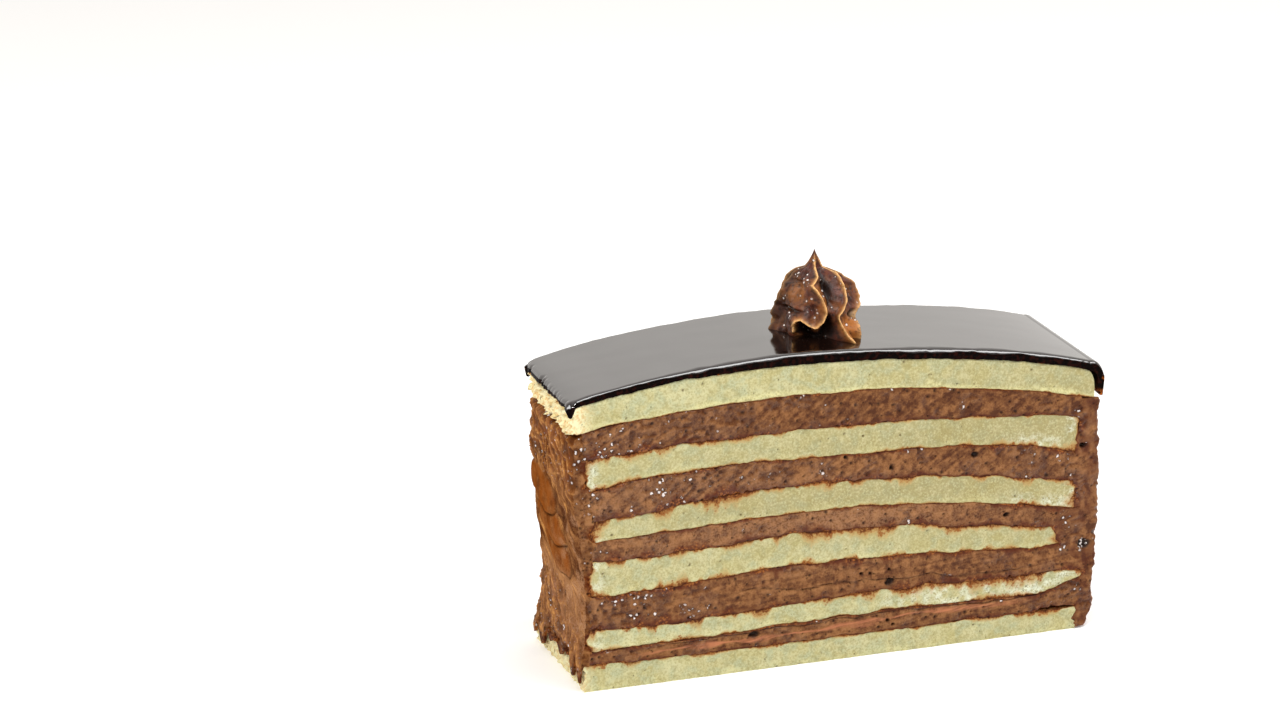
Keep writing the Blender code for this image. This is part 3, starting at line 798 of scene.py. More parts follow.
def cutCream(x, z, face):
    # what the knife left on the buttercream of a cut face, in its layers and coats alike
    side = ownPart(face)
    upper = ease((z - 33.0) / 6.0)
    ends = ease((np.abs(x - 0.8) - 50.5) / 4.5)
    slanted = drags(x, side, z, 34, 5.5, 0.7, 301)
    flatter = drags(x, side, z, 7, 7.0, 0.6, 311)
    upright = drags(x, side, z, 100, 3.0, 0.9, 321)
    strength = mix(table(cutSettings["drag"], x, z), 1.2, ends)
    drag = mix(mix(flatter, slanted, upper), upright, 0.7 * ends)
    wet = table(cutSettings["wetness"], x, z)
    wetPatch = ease((wet + 0.5 * cloud(x, side, z, 3.0, 331, 2) - 0.35) / 0.4)
    nuggets = cloud(x, side, z, 0.95, 341) + 0.5 * cloud(x, side, z, 0.5, 342)
    fine = np.maximum(pits(x + side, z, 2.3, 351, 0.3, 0.3),
                      pits(x + side, z, 1.1, 352, 0.14, 0.17))
    hollow = patchesAt(x, z, face, cutSettings["bubbles"], 0.22 * cloud(x, z, 0, 0.7, 353), 1.4, 1.0)
    glintBeads = patchesAt(x, z, face, cutSettings["glintBeads"], 0.3 * cloud(x, z, 0, 0.9, 354), 1.8, 1.3)
    out = (0.15 * strength * drag + 0.1 * cloud(x, side, z, 2.2, 361, 2)
           + (0.03 + 0.2 * wetPatch) * nuggets - 0.3 * fine - 0.9 * hollow)
    # the tone follows the knife's marks and the nuggets: painted light where they stand out, painted
    # shade in their grooves, with tone of its own
    toneAndShade = 0.52 + 0.36 * strength * drag + 0.15 * nuggets + 0.1 * ends * (x < 0)
    marks = {"gold": 0.0, "strandHighlight": 0.0, "smear": 0.0, "wash": 0.0, "glintBeads": glintBeads, "slant": upper,
             "ashAndSheen": table(cutSettings["ashAndSheen"], x, z), "wet": wetPatch * 0.9 + 0.4 * hollow,
             "toneAndShade": toneAndShade - table(cutSettings["dim"], x, z),
             # the pits and cut bubbles are painted near-black as shade
             "shadedPit": np.maximum(0.85 * fine, 0.95 * ease(hollow * 1.5))}
    return out, marks


creamSettings = {
    # a smear: share of the thickness at five places, half width, then where it starts and ends
    "smears": {1: ((0.35, 0.5, 0.55, 0.7, 0.8), 0.75, -48.0, 46.0)},
    # a fold line: share of the thickness at five places, then where it starts and ends
    "folds": {1: ((0.9, 0.88, 0.88, 0.9, 0.9), -40.0, 50.0),
              3: ((0.6, 0.55, 0.45, 0.3, 0.3), -24.0, 44.0)},
}


def makeCream(number, name):
    s = layerSettings
    cells = (int(112 / s["step"]), s["cellsY"], int(7.0 / s["step"]))
    u, v, w, faces, _ = boxShell(cells)
    x, y, z, thick = layerPlaces(number, u, v, w, leftWall, rightWall)
    face = cutFaces(v)
    seed = 300 + 10 * number
    side = ownPart(face)
    out, marks = cutCream(x, z, face)
    fromLow, fromHigh = w * thick, (1 - w) * thick
    if number in creamSettings["smears"]:
        shares, halfWidth, start, end = creamSettings["smears"][number]
        line = np.interp(x, stationPlaces, shares) + 0.06 * cloud(x, side, 0, 9, seed + 7)
        reach = halfWidth * (0.8 + 0.5 * cloud(x, side, 0, 6, seed + 8))
        smear = ease(1.2 - np.abs(w - line) * thick / reach)
        smear = smear * ease((x - start) / 14) * ease((end - x) / 16)
        smear = smear * (0.7 + 0.5 * drags(x, side, z, 8, 8.0, 0.3, seed + 9))
        out = mix(out, 0.08 + 0.03 * marks["toneAndShade"], 0.75 * ease(smear))
        marks["shadedPit"] = marks["shadedPit"] * (1 - 0.6 * smear)
        marks["smear"] = smear
    if number in creamSettings["folds"]:
        shares, start, end = creamSettings["folds"][number]
        line = (np.interp(x, stationPlaces, shares) + 0.06 * cloud(x, side, 0, 9, seed + 3)
                + 0.03 * cloud(x, side, 0, 3, seed + 4))
        over = (w - line) * thick
        fold = ease(1 - np.abs(over) / 0.22) * ease((x - start) / 5) * ease((end - x) / 5)
        out = out - 0.25 * fold + 0.12 * np.exp(-(np.maximum(over, 0) / 0.8) ** 2) * (over > 0)
        # the fold's crease is painted dark as shade
        marks["shadedPit"] = np.maximum(marks["shadedPit"], 0.6 * fold)
    out = out + 0.1 - 0.24 * ease(1 - np.minimum(fromLow, fromHigh) / 0.5)
    y = y + face * np.clip(out, *s["cutLimits"])
    marks["edge"] = np.maximum(skinEdge(number, x, side, fromLow, seed + 5),
                               skinEdge(number + 1, x, side, fromHigh, seed + 6)) - 0.08
    reach = 1.5 * np.maximum(0.2, 0.8 + 0.8 * cloud(x, side, 0, 4.0, seed + 10, 2))
    marks["wash"] = table(cutSettings["wash"], x, z) * ease(1.1 - fromLow / reach)
    piece = makePiece(name.replace("_", "Layer"), (x, y, z), faces, [finishes["cream"]], marks)
    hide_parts(name)


leftCoat = {
    "cells": (18, 140, 240),
    # smooth lobes left by the knife, the lowest first: depth, height, half depth, half height, rise
    "lobes": ((-0.5, 25.0, 8.5, 3.9, 0.8), (2.5, 30.8, 9.5, 3.9, 1.0), (8.0, 36.8, 9.5, 4.2, 1.2)),
    # where the coat runs down over the lowest sheet: depth, length, half width
    "drips": ((-15.0, 3.4, 0.8), (-10.6, 3.5, 1.3), (-3.2, 1.6, 1.3), (3.4, 0.9, 1.5),
              (9.4, 3.6, 1.9), (14.6, 2.6, 1.4)),
    "cornerRound": 1.9,
}


def coatBottom(y):
    # the lower edge of the left coat, and the top of the sheet that it hangs over
    ledge = level(1, -55.0, y)
    drip = sum(length * np.exp(-((y - at) / width) ** 4) for at, length, width in leftCoat["drips"])
    return np.maximum(0.6, ledge - 0.4 - drip + 0.35 * cloud(y, 0, 0, 1.3, 401, 2)), ledge


def lobesAt(y, z):
    rise, seam = 0 * y, 0 * y
    for at, height, halfDeep, halfHeight, amount in leftCoat["lobes"]:
        tilted = z - height - 0.12 * (y - at)
        far = np.hypot((y - at) / halfDeep, tilted / halfHeight) + 0.06 * cloud(y, z, 0, 4.0, 441)
        lower = np.clip(0.5 - 0.5 * tilted / halfHeight, 0, 1)
        own = amount * np.sqrt(np.clip(1 - far ** 2, 0, 1)) * mix(0.4, 1.0, lower)
        rise = np.maximum(rise, own)
        seam = np.where(own > 0.05, 0, seam)
        seam = np.maximum(seam, ease(1 - np.abs(far - 1.03) / 0.07) * lower)
    return rise, seam


def spongeBeside(x, y, z):
    # 1 where a sheet ends beside a coat at that height
    inside = 0 * x
    for number in (2, 4, 6, 8):
        low, high = level(number, x, y), level(number + 1, x, y)
        inside = np.maximum(inside, ease((z - low) / 0.5 + 0.5) * ease((high - z) / 0.5 + 0.5))
    return inside


def fringe(x, y, z, inner, face, seed):
    # the brown skin on a coat's cut face beside the ends of the sheets
    width = np.maximum(0.3, 0.9 + 0.8 * cloud(x, z, face, 1.6, seed))
    return fading(np.abs(x - inner), width) * spongeBeside(inner, y, z) - 0.05


def coatDepths(v, radius):
    # a coat's points from front to back, how far in from the nearer cut face each one is, and
    # how far in the rounded corners start
    corner = radius * (1 - math.cos(math.pi / 4))
    edge = halfDepth - layerSettings["faceInset"]
    y = mix(corner - edge, edge - corner, v)
    return y, edge - np.abs(y), corner


def cutCoat(x, y, z, face, fromOuter, radius, corner):
    # the cut faces of a coat, rounded toward its outer side
    out, marks = cutCream(x, z, face)
    out = np.clip(out + 0.08, *layerSettings["cutLimits"]) - rounded(fromOuter, radius) + corner
    return y + face * out, marks


def withOuter(marks, onEnd, endMarks):
    # the marks of a coat's cut faces, with others on its outer side
    return {mark: np.where(onEnd, endMarks.get(mark, values), values)
            for mark, values in marks.items()}


def makeLeftCoat():
    s = leftCoat
    u, v, w, faces, _ = boxShell(s["cells"])
    y, fromFace, corner = coatDepths(v, s["cornerRound"])
    bottom, ledge = coatBottom(y)
    notches = np.maximum(0, 0.9 * cloud(y, 0, 0, 1.4, 399, 2)) * (1 - u)
    z = mix(bottom, boundary(10, -57.5, y) - 0.05 - notches, w)
    wall = leftWall(y, z)
    wall = wall + layerSettings["coatOverlap"] * (1 - spongeBeside(wall, y, z))
    inner = np.where(z < ledge, baseLeft.at(y, np.minimum(z, 5.0)) - 0.1, wall)
    lobe, seam = lobesAt(y, z)
    rough = 1 - ease(lobe * 3)
    smeared = ease((3.0 - y) / 9) * ease((46 - z) / 8) * ease((z - 8) / 6)
    torn = rough * np.maximum(ease((z - 38) / 6), ease((23 - z) / 8)) * (1 - 0.75 * smeared)
    # glossy strands torn up at the top and low down, long drags in between
    ridges = 1 - np.abs(cloud(0.9 * y - 0.35 * z, 0.6 * z, 0, 1.9, 402, 2)) * 2.4
    strands = ease(ridges * 1.7 - 0.7) * torn
    dragged = drags(y, 0, z, 38, 5.0, 0.75, 410)
    hollow = ease(0.1 - ridges) * torn
    shadedPit = np.maximum(pits(y, z, 2.3, 405, 0.25, 0.45) * torn, 0.5 * hollow)
    shadedPit = np.maximum(shadedPit, pits(y, z, 6.5, 406, 0.25, 0.7) * rough)
    nuggets = cloud(y, z, 0, 0.8, 404, 2)
    lumps = cloud(y, z, 0, 2.4, 407, 3)
    relief = (0.35 * cloud(y, z, 0, 4.5, 403, 2) * mix(0.3, 1.0, rough) + 0.3 * strands
              + 0.12 * dragged * mix(0.1, 1.0, rough) + 0.22 * lumps * mix(0.15, 1.0, rough)
              + (0.02 + 0.07 * torn) * nuggets - 0.5 * shadedPit - 0.45 * seam + 1.1 * lobe - 0.5)
    relief = relief * (0.3 + 0.7 * ease((z - bottom) / 6.0))
    plain = np.minimum(leftOuter.at(y, z) - relief, inner - 0.5)
    plain = mix(plain, np.maximum(plain, inner - 0.6), ease(1 - (z - bottom) / 2.4))
    x = mix(plain + rounded(fromFace, s["cornerRound"]), inner, u)
    face = cutFaces(v)
    y, marks = cutCoat(x, y, z, face, x - plain, s["cornerRound"], corner)
    marks["edge"] = fringe(x, y, z, inner, face, 430)
    gold = ease(lobe * 3) * (0.5 + 0.35 * cloud(y, z, 0, 2.2, 412, 3))
    # greyish patches painted as a sheen on the smeared part and low down on the end
    paintedSheenPatch = ease(cloud(y, z, 0, 2.6, 411, 2) * 1.6 - 0.1) * smeared
    # painted highlights on the raised drag ridges, and on the raised strands as well
    light = ease(dragged * 2.2 - 0.9) * rough * 0.7
    lower = ease((25 - z) / 6.0)
    endTone = 0.44 + 0.26 * lower + 0.11 * ease((z - 38) / 6.0)
    # on the outer end the tone is painted light on the raised drags, lumps and nuggets, and the pits
    # and the seams under the lobes are painted near-black as shade
    marks = withOuter(marks, (face == 0) | (u == 0), {
        "toneAndShade": endTone + 0.3 * dragged * rough + 0.22 * lumps + 0.12 * nuggets,
        "shadedPit": np.maximum(0.9 * shadedPit, 0.75 * seam), "wet": 0.75 * torn, "slant": 1.0,
        "gold": np.maximum(gold, 0.45 * torn), "strandHighlight": np.maximum(0.8 * strands, light),
        "glintBeads": 0.15 * torn, "ashAndSheen": 0.08 * smeared + 0.5 * paintedSheenPatch + 0.35 * lower,
        "wash": ease(1.3 - (z - bottom) / 3.0) * (0.5 + 0.9 * lumps),
        "edge": fading(z - bottom, np.maximum(0.4, 1.3 + 1.2 * lumps))})
    piece = makePiece("coatLeft", (x, y, z), faces, [finishes["coat"]], marks)
    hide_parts("coat_left")


rightCoat = {"cells": (20, 124, 230), "cornerRound": 0.8, "standing": 0.4}


def makeRightCoat():
    s = rightCoat
    u, v, w, faces, _ = boxShell(s["cells"])
    y, fromFace, corner = coatDepths(v, s["cornerRound"])
    z = mix(s["standing"], boundary(10, 57.0, y) - 0.05, w)
    wall = rightWall(y, z)
    inner = wall - layerSettings["coatOverlap"] * (1 - spongeBeside(wall, y, z))
    lumpy = 0.3 * cloud(y, z, 0, 3.0, 411, 3) + 0.12 * cloud(y, z, 0, 0.8, 412, 2)
    shadedPit = pits(y, z, 2.6, 413, 0.35, 0.6)
    dragged = drags(y, 0, z, 80, 4.5, 0.8, 415)
    ragged = 0.3 * cloud(z, 0, 0, 1.0, 417, 3) * ease(1 - fromFace / 2.0)
    plain = rightOuter.at(y, z) + (lumpy + 0.2 * dragged - 0.5 * shadedPit - 0.1 - ragged) * ease(z / 3)
    plain = np.minimum(plain, boxOf("coat_right")[1].x)
    x = mix(inner, plain - rounded(fromFace, s["cornerRound"]), u)
    face = cutFaces(v)
    y, marks = cutCoat(x, y, z, face, plain - x, s["cornerRound"], corner)
    marks["edge"] = fringe(x, y, z, inner, face, 432)
    marks["wash"] = 0.7 * ease(0.55 + cloud(x, z, face, 2.2, 418, 2))
    # on the outer side the tone is painted light on the raised drags and lumps, and the pits are
    # painted near-black as shade
    marks = withOuter(marks, (face == 0) | (u == 1), {
        "toneAndShade": 0.5 + 0.35 * dragged + 0.3 * lumpy, "shadedPit": 0.85 * shadedPit, "wet": 0.5, "gold": 0.25,
        "glintBeads": 0.0, "wash": 0.25 + 0.6 * lumpy, "edge": 0.0})
    piece = makePiece("coatRight", (x, y, z), faces, [finishes["cream"]], marks)
    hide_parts("coat_right")


for number, name in enumerate(layerNames[:-1]):
    (makeSponge if name.startswith("sponge") else makeCream)(number, name)
print("sheets and cream layers made")
makeLeftCoat()
makeRightCoat()
print("coats made")


glazeSettings = {
    "cells": (300, 24, 20), "across": 130, "thin": 8, "edgeRound": 0.5,
    # the slope of the rim, in degrees, at those distances from a cut face
    "rim": ((0.0, 85), (0.1, 62), (0.2, 49), (0.58, 40), (0.72, 24), (1.2, 12), (1.6, 0)),
    # how much higher the top is than the solid's at places along X
    "trim": ((-60.0, 0.9), (-57.0, 1.1), (-53.0, 0.5), (-48.0, -0.15), (-42.0, -0.5),
             (-35.0, -0.75), (-27.0, -0.7), (-20.0, -0.5), (-12.0, -0.15), (-4.0, 0.0)),
    "bend": 3.1, "hangThickness": 1.5, "tipThickness": 0.8, "inset": 0.12,
    "darkEdge": 0.12,           # how far the cut's finish reaches over the rim
}


def topCurves():
    # the glaze's top as a smooth curve along X for each row of places
    return [np.polynomial.Polynomial.fit(alongX[onFlat], column[onFlat], 5)
            for column in levelTables[12].T]


glazeCurves = topCurves()


def smoothTrim():
    # the trim's corners are rounded, so that they don't show in what the glaze mirrors
    places = np.arange(-75.0, 75.0, 0.25)
    values = np.interp(places, *zip(*glazeSettings["trim"]))
    reach = np.arange(-24, 25)
    weights = np.exp(-(reach / 9.0) ** 2)
    return places, np.convolve(values, weights / weights.sum(), "same")


topTrim = smoothTrim()


def topHeight(x, y):
    rows = [curve(np.clip(x, -58.5, 58.5)) for curve in glazeCurves]
    low, middle, high = rowPlaces
    straight = mix(rows[0], rows[2], (y - low) / (high - low))
    bow = rows[1] - 0.5 * (rows[0] + rows[2])
    return straight + np.interp(x, *topTrim) + bow * (1 - ((y - middle) / (high - middle)) ** 2)


def rimDrop(distance):
    # how far the sloping rim along the cut faces lies below the glaze's top
    places = np.linspace(0, glazeSettings["rim"][-1][0], 200)
    slope = np.tan(np.radians(np.interp(places, *zip(*glazeSettings["rim"]))))
    below = np.cumsum(slope[::-1])[::-1] * (places[1] - places[0])
    return np.interp(distance, places, below, right=0.0)


def makeGlaze():
    s = glazeSettings
    flat, bend, hang = s["cells"]
    total = flat + bend + hang
    u, v, w, faces, sides = boxShell((total, s["across"], s["thin"]))
    low, high = boxOf("glaze")
    start = high.x - s["bend"]
    face = cutFaces(v)
    v = 0.5 - 0.5 * np.cos(v * math.pi) * (1 - 0.25 * np.sin(v * math.pi))  # closer at the edges
    y = mix(-halfDepth + s["inset"], halfDepth - s["inset"], v)
    share = (y + halfDepth) / (2 * halfDepth)
    left = mix(low.x + 0.15, low.x + 1.75, share)
    notch = 0.6 * np.maximum(0, cloud(y, 0, 0, 1.3, 421, 2)) + 0.6 * pits(y, 0, 3.1, 422, 0.6, 0.5)
    cell = u * total
    # along the flat
    xFlat = mix(left + notch * (1 - 0.4 * w), start, np.clip(cell / flat, 0, 1))
    zFlat = mix(boundary(11, xFlat, y), topHeight(xFlat, y), w)
    # round the bend and down the end
    angle = np.clip((cell - flat) / bend, 0, 1) * math.pi / 2
    down = np.clip((cell - flat - bend) / hang, 0, 1)
    thickness = mix(s["hangThickness"], s["tipThickness"], down ** 2)
    reach = mix(s["bend"] - thickness, s["bend"] - 0.3 * down ** 2, w)
    radius = mix(reach + 0.2, reach, w)
    zBend = mix(boundary(11, start, y), topHeight(start, y), w) - radius * (1 - np.cos(angle))
    tip = level(10, start, y) + 0.4 + 1.1 * (1 - np.cos(share * 2.3 * math.pi))
    tip = tip + 0.3 * cloud(y, 0, 0, 2.0, 423)
    x = np.where(cell <= flat, xFlat, start + reach * np.sin(angle))
    z = np.where(cell <= flat, zFlat, mix(zBend, tip, down))
    # round the top edges along the two cut faces and the left end
    slim = np.clip((topHeight(x, y) - boundary(11, x, y)) / 2.3, 0.3, 1)
    slim = slim * (1 + 0.35 * cloud(x, np.sign(y), 0, 4.0, 427, 3))
    fromFace = halfDepth - s["inset"] - np.abs(y)
    drop = slim * rimDrop(fromFace / slim)
    z = z - np.where(cell <= flat + bend, drop * w, 0)
    z = z - w * rounded(x - left - notch, s["edgeRound"])
    # the glaze runs down a little over the left corners of the cut faces
    corner = np.exp(-((x - left - 0.9) / 0.75) ** 4) * ease(1.3 - (halfDepth - np.abs(y)) / 1.2)
    z = z - (1.7 + 0.5 * face) * corner * (1 - 0.7 * w)
    ripple = 0.14 * cloud(x, z, 0, 1.3, 424, 2)
    y = y + face * (ripple - 0.1) * (1 - corner) * (1 - w ** 4)
    bits = ease((x - 56.0) / 2.5) * ease((tip + 1.8 - z) / 1.2) + pits(x, z, 4.5, 426, 0.25, 0.6)
    piece = makePiece("glazeSkin", (x, y, z), faces, [finishes["glaze"], finishes["glazeCut"]],
                      {"bits": bits}, sharpOver=70)
    cutSide = (sides != 5) | (fromFace[np.array(faces)].mean(axis=1) < s["darkEdge"])
    piece.data.polygons.foreach_set("material_index", cutSide.astype(np.int32))
    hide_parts("glaze")


makeGlaze()
print("glaze made")


rosetteSettings = {
    "centre": (0.05, 0.3), "segments": 540, "rings": 260, "baseRings": 12,
    "height": 17.0, "radius": 8.35, "dome": 0.785, "spike": 1.7, "face": -109.5,
    "fullSide": 75.0, "lopsided": 0.1,
    "shadedValley": 2.6, "crest": 0.65, "crestWidth": 0.34, "lean": 0.4,
    # each ridge: (angle, height) points from the tip to the base, how far its foot reaches,
    # and how wide it falls on its left and on its right side
    "ridges": (
        (((0, 17), (-2, 13.8), (2, 12.1), (-9.5, 10.6), (0, 9.6), (7, 8.2), (11, 6.6), (12, 5.3),
          (8, 3.9), (0, 2.7), (-8, 3.1), (-20, 4.2), (-29, 3.8), (-35, 2.5), (-33, 1.2)),
         1.08, 8.0, 2.4),
        (((66, 17), (70, 12.4), (56, 11.2), (54, 9.7), (51, 8.7), (45, 7.2), (38, 5.4), (33, 4.5),
          (34, 2.8), (36, 1.2), (39, 0)), 1.3, 3.4, 5.0),
        (((84, 17), (86, 13), (94, 10), (97, 7.4), (90, 5.8), (76, 4.6), (62, 3.2), (56, 1.4),
          (56, 0)), 1.2, 5.0, 3.0),
        (((150, 17), (156, 13), (164, 10.5), (156, 8), (140, 5.5), (136, 4.0), (146, 2.2), (150, 0)),
         1.16, 3.0, 2.0),
        (((200, 17), (206, 13), (214, 11.5), (206, 8), (192, 5.5), (190, 4.0), (200, 2.2), (204, 0)),
         1.12, 2.6, 2.2),
        (((240, 17), (246, 13), (254, 11), (258, 9.2), (250, 7.2), (242, 5.0), (250, 2.4), (252, 0)),
         1.14, 2.6, 2.2),
        (((286, 17), (282, 13), (276, 11.6), (280, 10.2), (286, 8.6), (282, 6.4), (272, 5.2),
          (276, 2.6), (280, 0)), 1.16, 2.4, 7.0),
    ),
    # the ridges' edges are painted as lit, each as strongly as its shine
    "shine": (1.0, 1.0, 0.75, 0.7, 0.7, 0.5, 0.2),      # how light each ridge's edge is
    # wet beads, painted as white highlights in dark hollows: angle, height, half width in degrees,
    # half height
    "glintBeads": ((-29, 11.4, 9, 1.3), (-46, 4.7, 9, 1.3), (-74, 12.4, 8, 0.9), (-10, 6.3, 5, 0.9),
              (19, 9.5, 6, 1.6), (56, 12.0, 5, 0.8), (-20, 1.2, 7, 0.7), (58, 2.4, 7, 2.0),
              (118, 8.2, 9, 1.4), (176, 9.6, 8, 1.2), (226, 5.4, 9, 1.3), (150, 3.0, 8, 1.2)),
    # hollows under the ridges' edges: angle, height, half width in degrees, half height, depth
    "hollows": ((-20, 1.8, 13, 1.7, 2.6), (19, 2.2, 11, 2.6, 1.8), (80, 3.9, 24, 1.0, 3.0),
                (-60, 10.6, 24, 0.5, 0.5), (-50, 5.2, 30, 0.6, 0.8), (160, 3.2, 24, 0.8, 1.4),
                (225, 3.6, 20, 0.9, 1.2)),
}


def turnFrom(angle, at):
    # the shorter way round from one angle to another, in degrees
    return (angle - at + 180) % 360 - 180


def ovalFar(angle, height, at, up, halfTurn, halfHeight):
    # how far a place is from the middle of an oval on the side, 1 being its edge
    return np.hypot(turnFrom(angle, at) / halfTurn, (height - up) / halfHeight)


def nearestOnPath(angle, height, body, path):
    # signed distance in mm on the unrolled side, more than 0 to the right of the way down,
    # and the direction across the path there
    nearest = np.full(body.shape, 99.0)
    across, upward = np.zeros_like(body), np.zeros_like(body)
    radius = np.maximum(body, 1.0)
    for (a0, h0), (a1, h1) in zip(path[:-1], path[1:]):
        du = np.radians(turnFrom(angle, a0)) * radius
        dv = height - h0
        eu, ev = np.radians(a1 - a0) * radius, h1 - h0
        t = np.clip((du * eu + dv * ev) / (eu * eu + ev * ev + 1e-9), 0, 1)
        length = np.hypot(eu, ev) + 1e-9
        beside = (eu * dv - ev * du) / length
        # past a corner of the path the segment that faces the point more decides the side
        far = np.hypot(du - t * eu, dv - t * ev) - 0.001 * np.abs(beside)
        closer = far < np.abs(nearest)
        nearest = np.where(closer, far * np.where(beside >= 0, 1.0, -1.0), nearest)
        across = np.where(closer, -ev / length, across)
        upward = np.where(closer, eu / length, upward)
    return nearest, across, upward


def makeRosette():
    s = rosetteSettings
    ring, turn = np.meshgrid(np.arange(1, s["rings"]), np.arange(s["segments"]), indexing="ij")
    sides = s["rings"] - s["baseRings"]
    share = np.clip(1 - ring / sides, 0, 1) ** 0.92
    closing = np.clip((ring - sides) / s["baseRings"], 0, 1)
    angle = turn / s["segments"] * 360.0
    height = share * s["height"]
    dome = s["radius"] * np.sqrt(np.maximum(0, 1 - (share / s["dome"]) ** 3))
    spike = s["spike"] * np.minimum(1, (1 - share) / (1 - s["dome"])) ** 1.2
    fuller = 1 + s["lopsided"] * np.cos(np.radians(angle - s["fullSide"]))
    body = ((dome * fuller) ** 4 + spike ** 4) ** 0.25
    distance, foot = np.full(body.shape, 9.0), np.ones_like(body)
    crest, leanAcross, leanUp, litRidge, glow = (np.zeros_like(body) for _ in range(5))
    for (path, reach, leftFall, rightFall), shine in zip(s["ridges"], s["shine"]):
        nearest, across, upward = nearestOnPath(angle, height, body, path)
        fall = np.where(nearest > 0, rightFall, leftFall)
        far = np.abs(nearest) / fall
        sharp = np.exp(-(nearest / s["crestWidth"]) ** 2)
        top = sharp > crest
        steep = np.clip((leftFall - rightFall) / 3.0, -1, 1)
        leanAcross = np.where(top, steep * across, leanAcross)
        leanUp = np.where(top, steep * upward, leanUp)
        crest = np.maximum(crest, sharp)
        # painted highlight along each ridge's edge
        litRidge = np.maximum(litRidge, shine * sharp ** 3)
        # a band of painted light beside each ridge's edge
        glow = np.maximum(glow, shine * np.exp(-((nearest - 0.5) / 1.0) ** 2))
        foot = np.where(far < distance, reach, foot)
        distance = np.minimum(distance, far)
    cover = np.maximum(0, 1 - distance)
    sunk = 1 - cover ** 1.3
    worldAngle = np.radians(angle + s["face"])
    cosine, sine = np.cos(worldAngle), np.sin(worldAngle)
    fullness = ease(body / 4.5)
    tiers = cloud(3.2 * cosine, 3.2 * sine, height / 1.9, 1.0, 433)
    hollow = np.zeros_like(body)
    for *oval, depth in s["hollows"]:
        hollow = np.maximum(hollow, depth * ease(1.25 - ovalFar(angle, height, *oval)))
    uneven = 0.5 * tiers + 0.25 * cloud(9 * cosine, 9 * sine, height, 1.6, 431, 2)
    radius = body + (s["crest"] * crest - s["shadedValley"] * sunk) * fullness
    radius = radius - hollow * (1 - 0.7 * crest) + uneven * fullness
    radius = radius * (1 + (foot - 1) * cover ** 0.5 * ease(1 - share / 0.3))
    radius = radius * (1 - closing)
    sideways = s["lean"] * crest * fullness * (1 - closing)
    x = s["centre"][0] + radius * cosine - sideways * leanAcross * sine
    y = s["centre"][1] + radius * sine + sideways * leanAcross * cosine
    seat = topHeight(*s["centre"])
    lift = np.where(share > 0, sideways * leanUp, 0)
    z = mix(topHeight(x, y), seat, np.clip(share * 4, 0, 1)) + height + lift - 0.05
    z = np.maximum(z, topHeight(x, y) - 0.05)
    points = np.concatenate([[[*s["centre"], seat + s["height"]]],
                             np.stack([x, y, z], -1).reshape(-1, 3), [[*s["centre"], seat - 0.05]]])
    index = 1 + np.arange(ring.size).reshape(ring.shape)
    after = np.roll(index, -1, axis=1)
    faces = np.stack([index[:-1], index[1:], after[1:], after[:-1]], -1).reshape(-1, 4).tolist()
    faces += [[0, int(a), int(b)] for a, b in zip(index[0], after[0])]
    faces += [[len(points) - 1, int(b), int(a)] for a, b in zip(index[-1], after[-1])]
    litRidge = litRidge * ease(body / 1.5)
    glow = glow * ease((11.5 - height) / 2.0)
    glow = glow * (0.6 + 0.5 * cloud(5 * cosine, 5 * sine, height, 2.0, 435))
    glow = glow * (1 - ease(hollow * 1.5) * (height < 4.0))
    # painted shade in the valleys and hollows, and darker on the left side
    shadedValley = np.maximum(ease(sunk * 2.0 - 0.8), ease(hollow * 0.9))
    shadedValley = np.maximum(shadedValley, 0.55 * ease(1.5 - ovalFar(angle, height, -92, 6.0, 38, 9.0)))
    glintBeads = np.zeros_like(body)
    for oval in s["glintBeads"]:
        glintBeads = np.maximum(glintBeads, ease(1.8 - 1.2 * ovalFar(angle, height, *oval)))
    # the fat lobe at the foot and the left flank are painted warm and light as lit faces
    lobe = ease(1.5 - ovalFar(angle, height, 52, 1.6, 16, 2.2))
    flank = ease(1.4 - np.hypot(((angle + 65) % 360 - 20) / 24, (height - 8.6) / 2.0))
    warmAndLit = np.maximum(np.maximum(lobe, 0.7 * flank), 0.9 * glow)
    marks = {"litRidge": litRidge, "shadedValley": shadedValley * (1 - np.maximum(lobe, 0.7 * glow)), "warmAndLit": warmAndLit,
             "glintBeads": glintBeads}
    marks = {name: np.concatenate([[0], values.reshape(-1), [0]]) for name, values in marks.items()}
    piece = makePiece("rosettePiped", points.T, faces, [finishes["rosette"]], marks, sharpOver=120)
    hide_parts("rosette")


makeRosette()
print("rosette made")


def makeFloor():
    bpy.ops.mesh.primitive_plane_add(size=6.0)
    floor = bpy.context.active_object
    floor.name = "floorPale"
    f = Finish("paleFloor")
    floor.data.materials.append(f.finished(
        Base_Color=(0.95, 0.95, 0.95, 1), Roughness=0.9, Specular_IOR_Level=0.1,
        Emission_Color=(1.0, 0.99, 0.975, 1), Emission_Strength=0.16))


def makeWorld():
    # a pale room: dimmer on the camera's side, with a bright wall behind the cake
    world = bpy.data.worlds.new("softStudio")
    bpy.context.scene.world = world
    world.use_nodes = True
    nodes, links = world.node_tree.nodes, world.node_tree.links
    coordinates = nodes.new("ShaderNodeTexCoord")
    split = nodes.new("ShaderNodeSeparateXYZ")
    ramp = nodes.new("ShaderNodeMapRange")
    for key, value in (("From Min", -0.2), ("From Max", 0.8), ("To Min", 0.4), ("To Max", 1.35)):
        ramp.inputs[key].default_value = value
    links.new(coordinates.outputs["Generated"], split.inputs[0])
    links.new(split.outputs["Y"], ramp.inputs["Value"])
    links.new(ramp.outputs[0], nodes["Background"].inputs["Strength"])
    nodes["Background"].inputs["Color"].default_value = (1.0, 0.965, 0.92, 1)


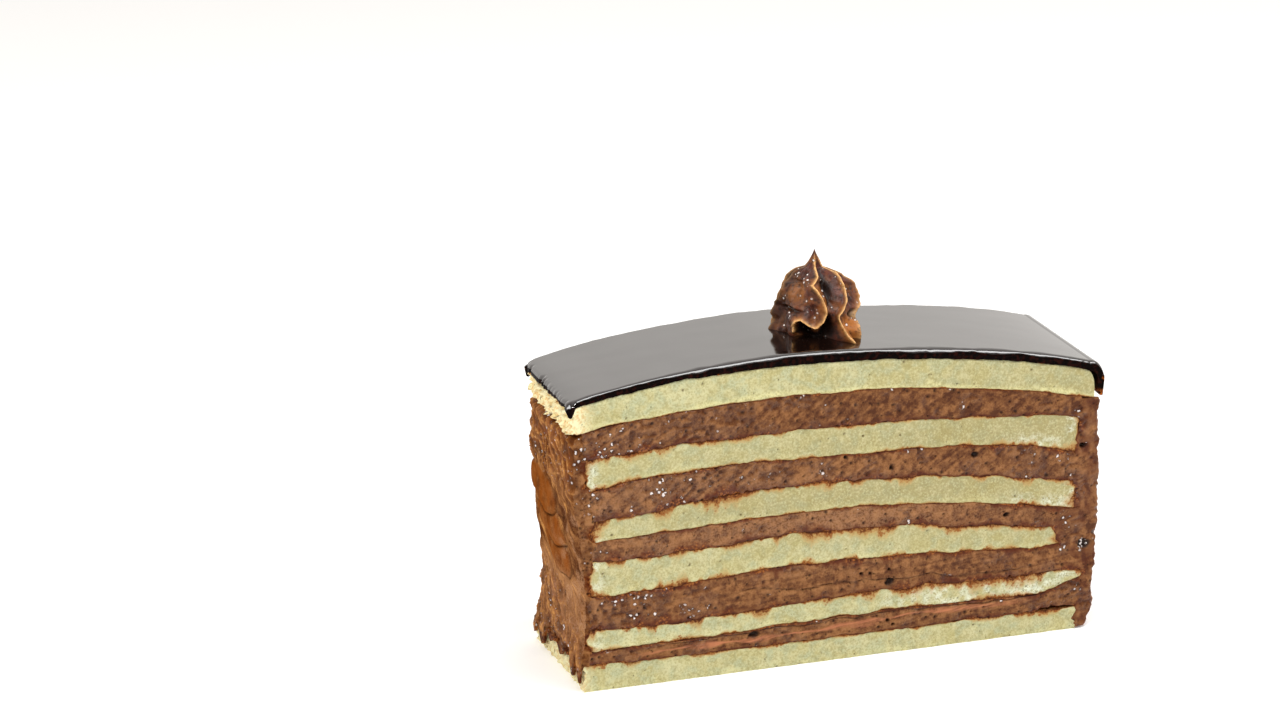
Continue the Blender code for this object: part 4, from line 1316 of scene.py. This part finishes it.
def makeLight(name, place, size, power, aimed=True):
    data = bpy.data.lights.new(name, "AREA")
    data.shape, data.energy = "RECTANGLE", power
    data.size, data.size_y = size
    light = bpy.data.objects.new(name, data)
    bpy.context.scene.collection.objects.link(light)
    light.location = place
    if aimed:
        toward = Vector(place) - Vector((0, 0, 0.03))
        light.rotation_euler = toward.to_track_quat("Z", "Y").to_euler()


makeFloor()
makeWorld()
makeLight("keyLamp", (-0.65, -0.72, 0.92), (0.14, 0.14), 4.8)
makeLight("rimLamp", (0.4, -0.27, 0.94), (1.25, 0.3), 7.8, aimed=False)
bpy.context.scene.view_settings.view_transform = "Standard"
print("stage and light set")
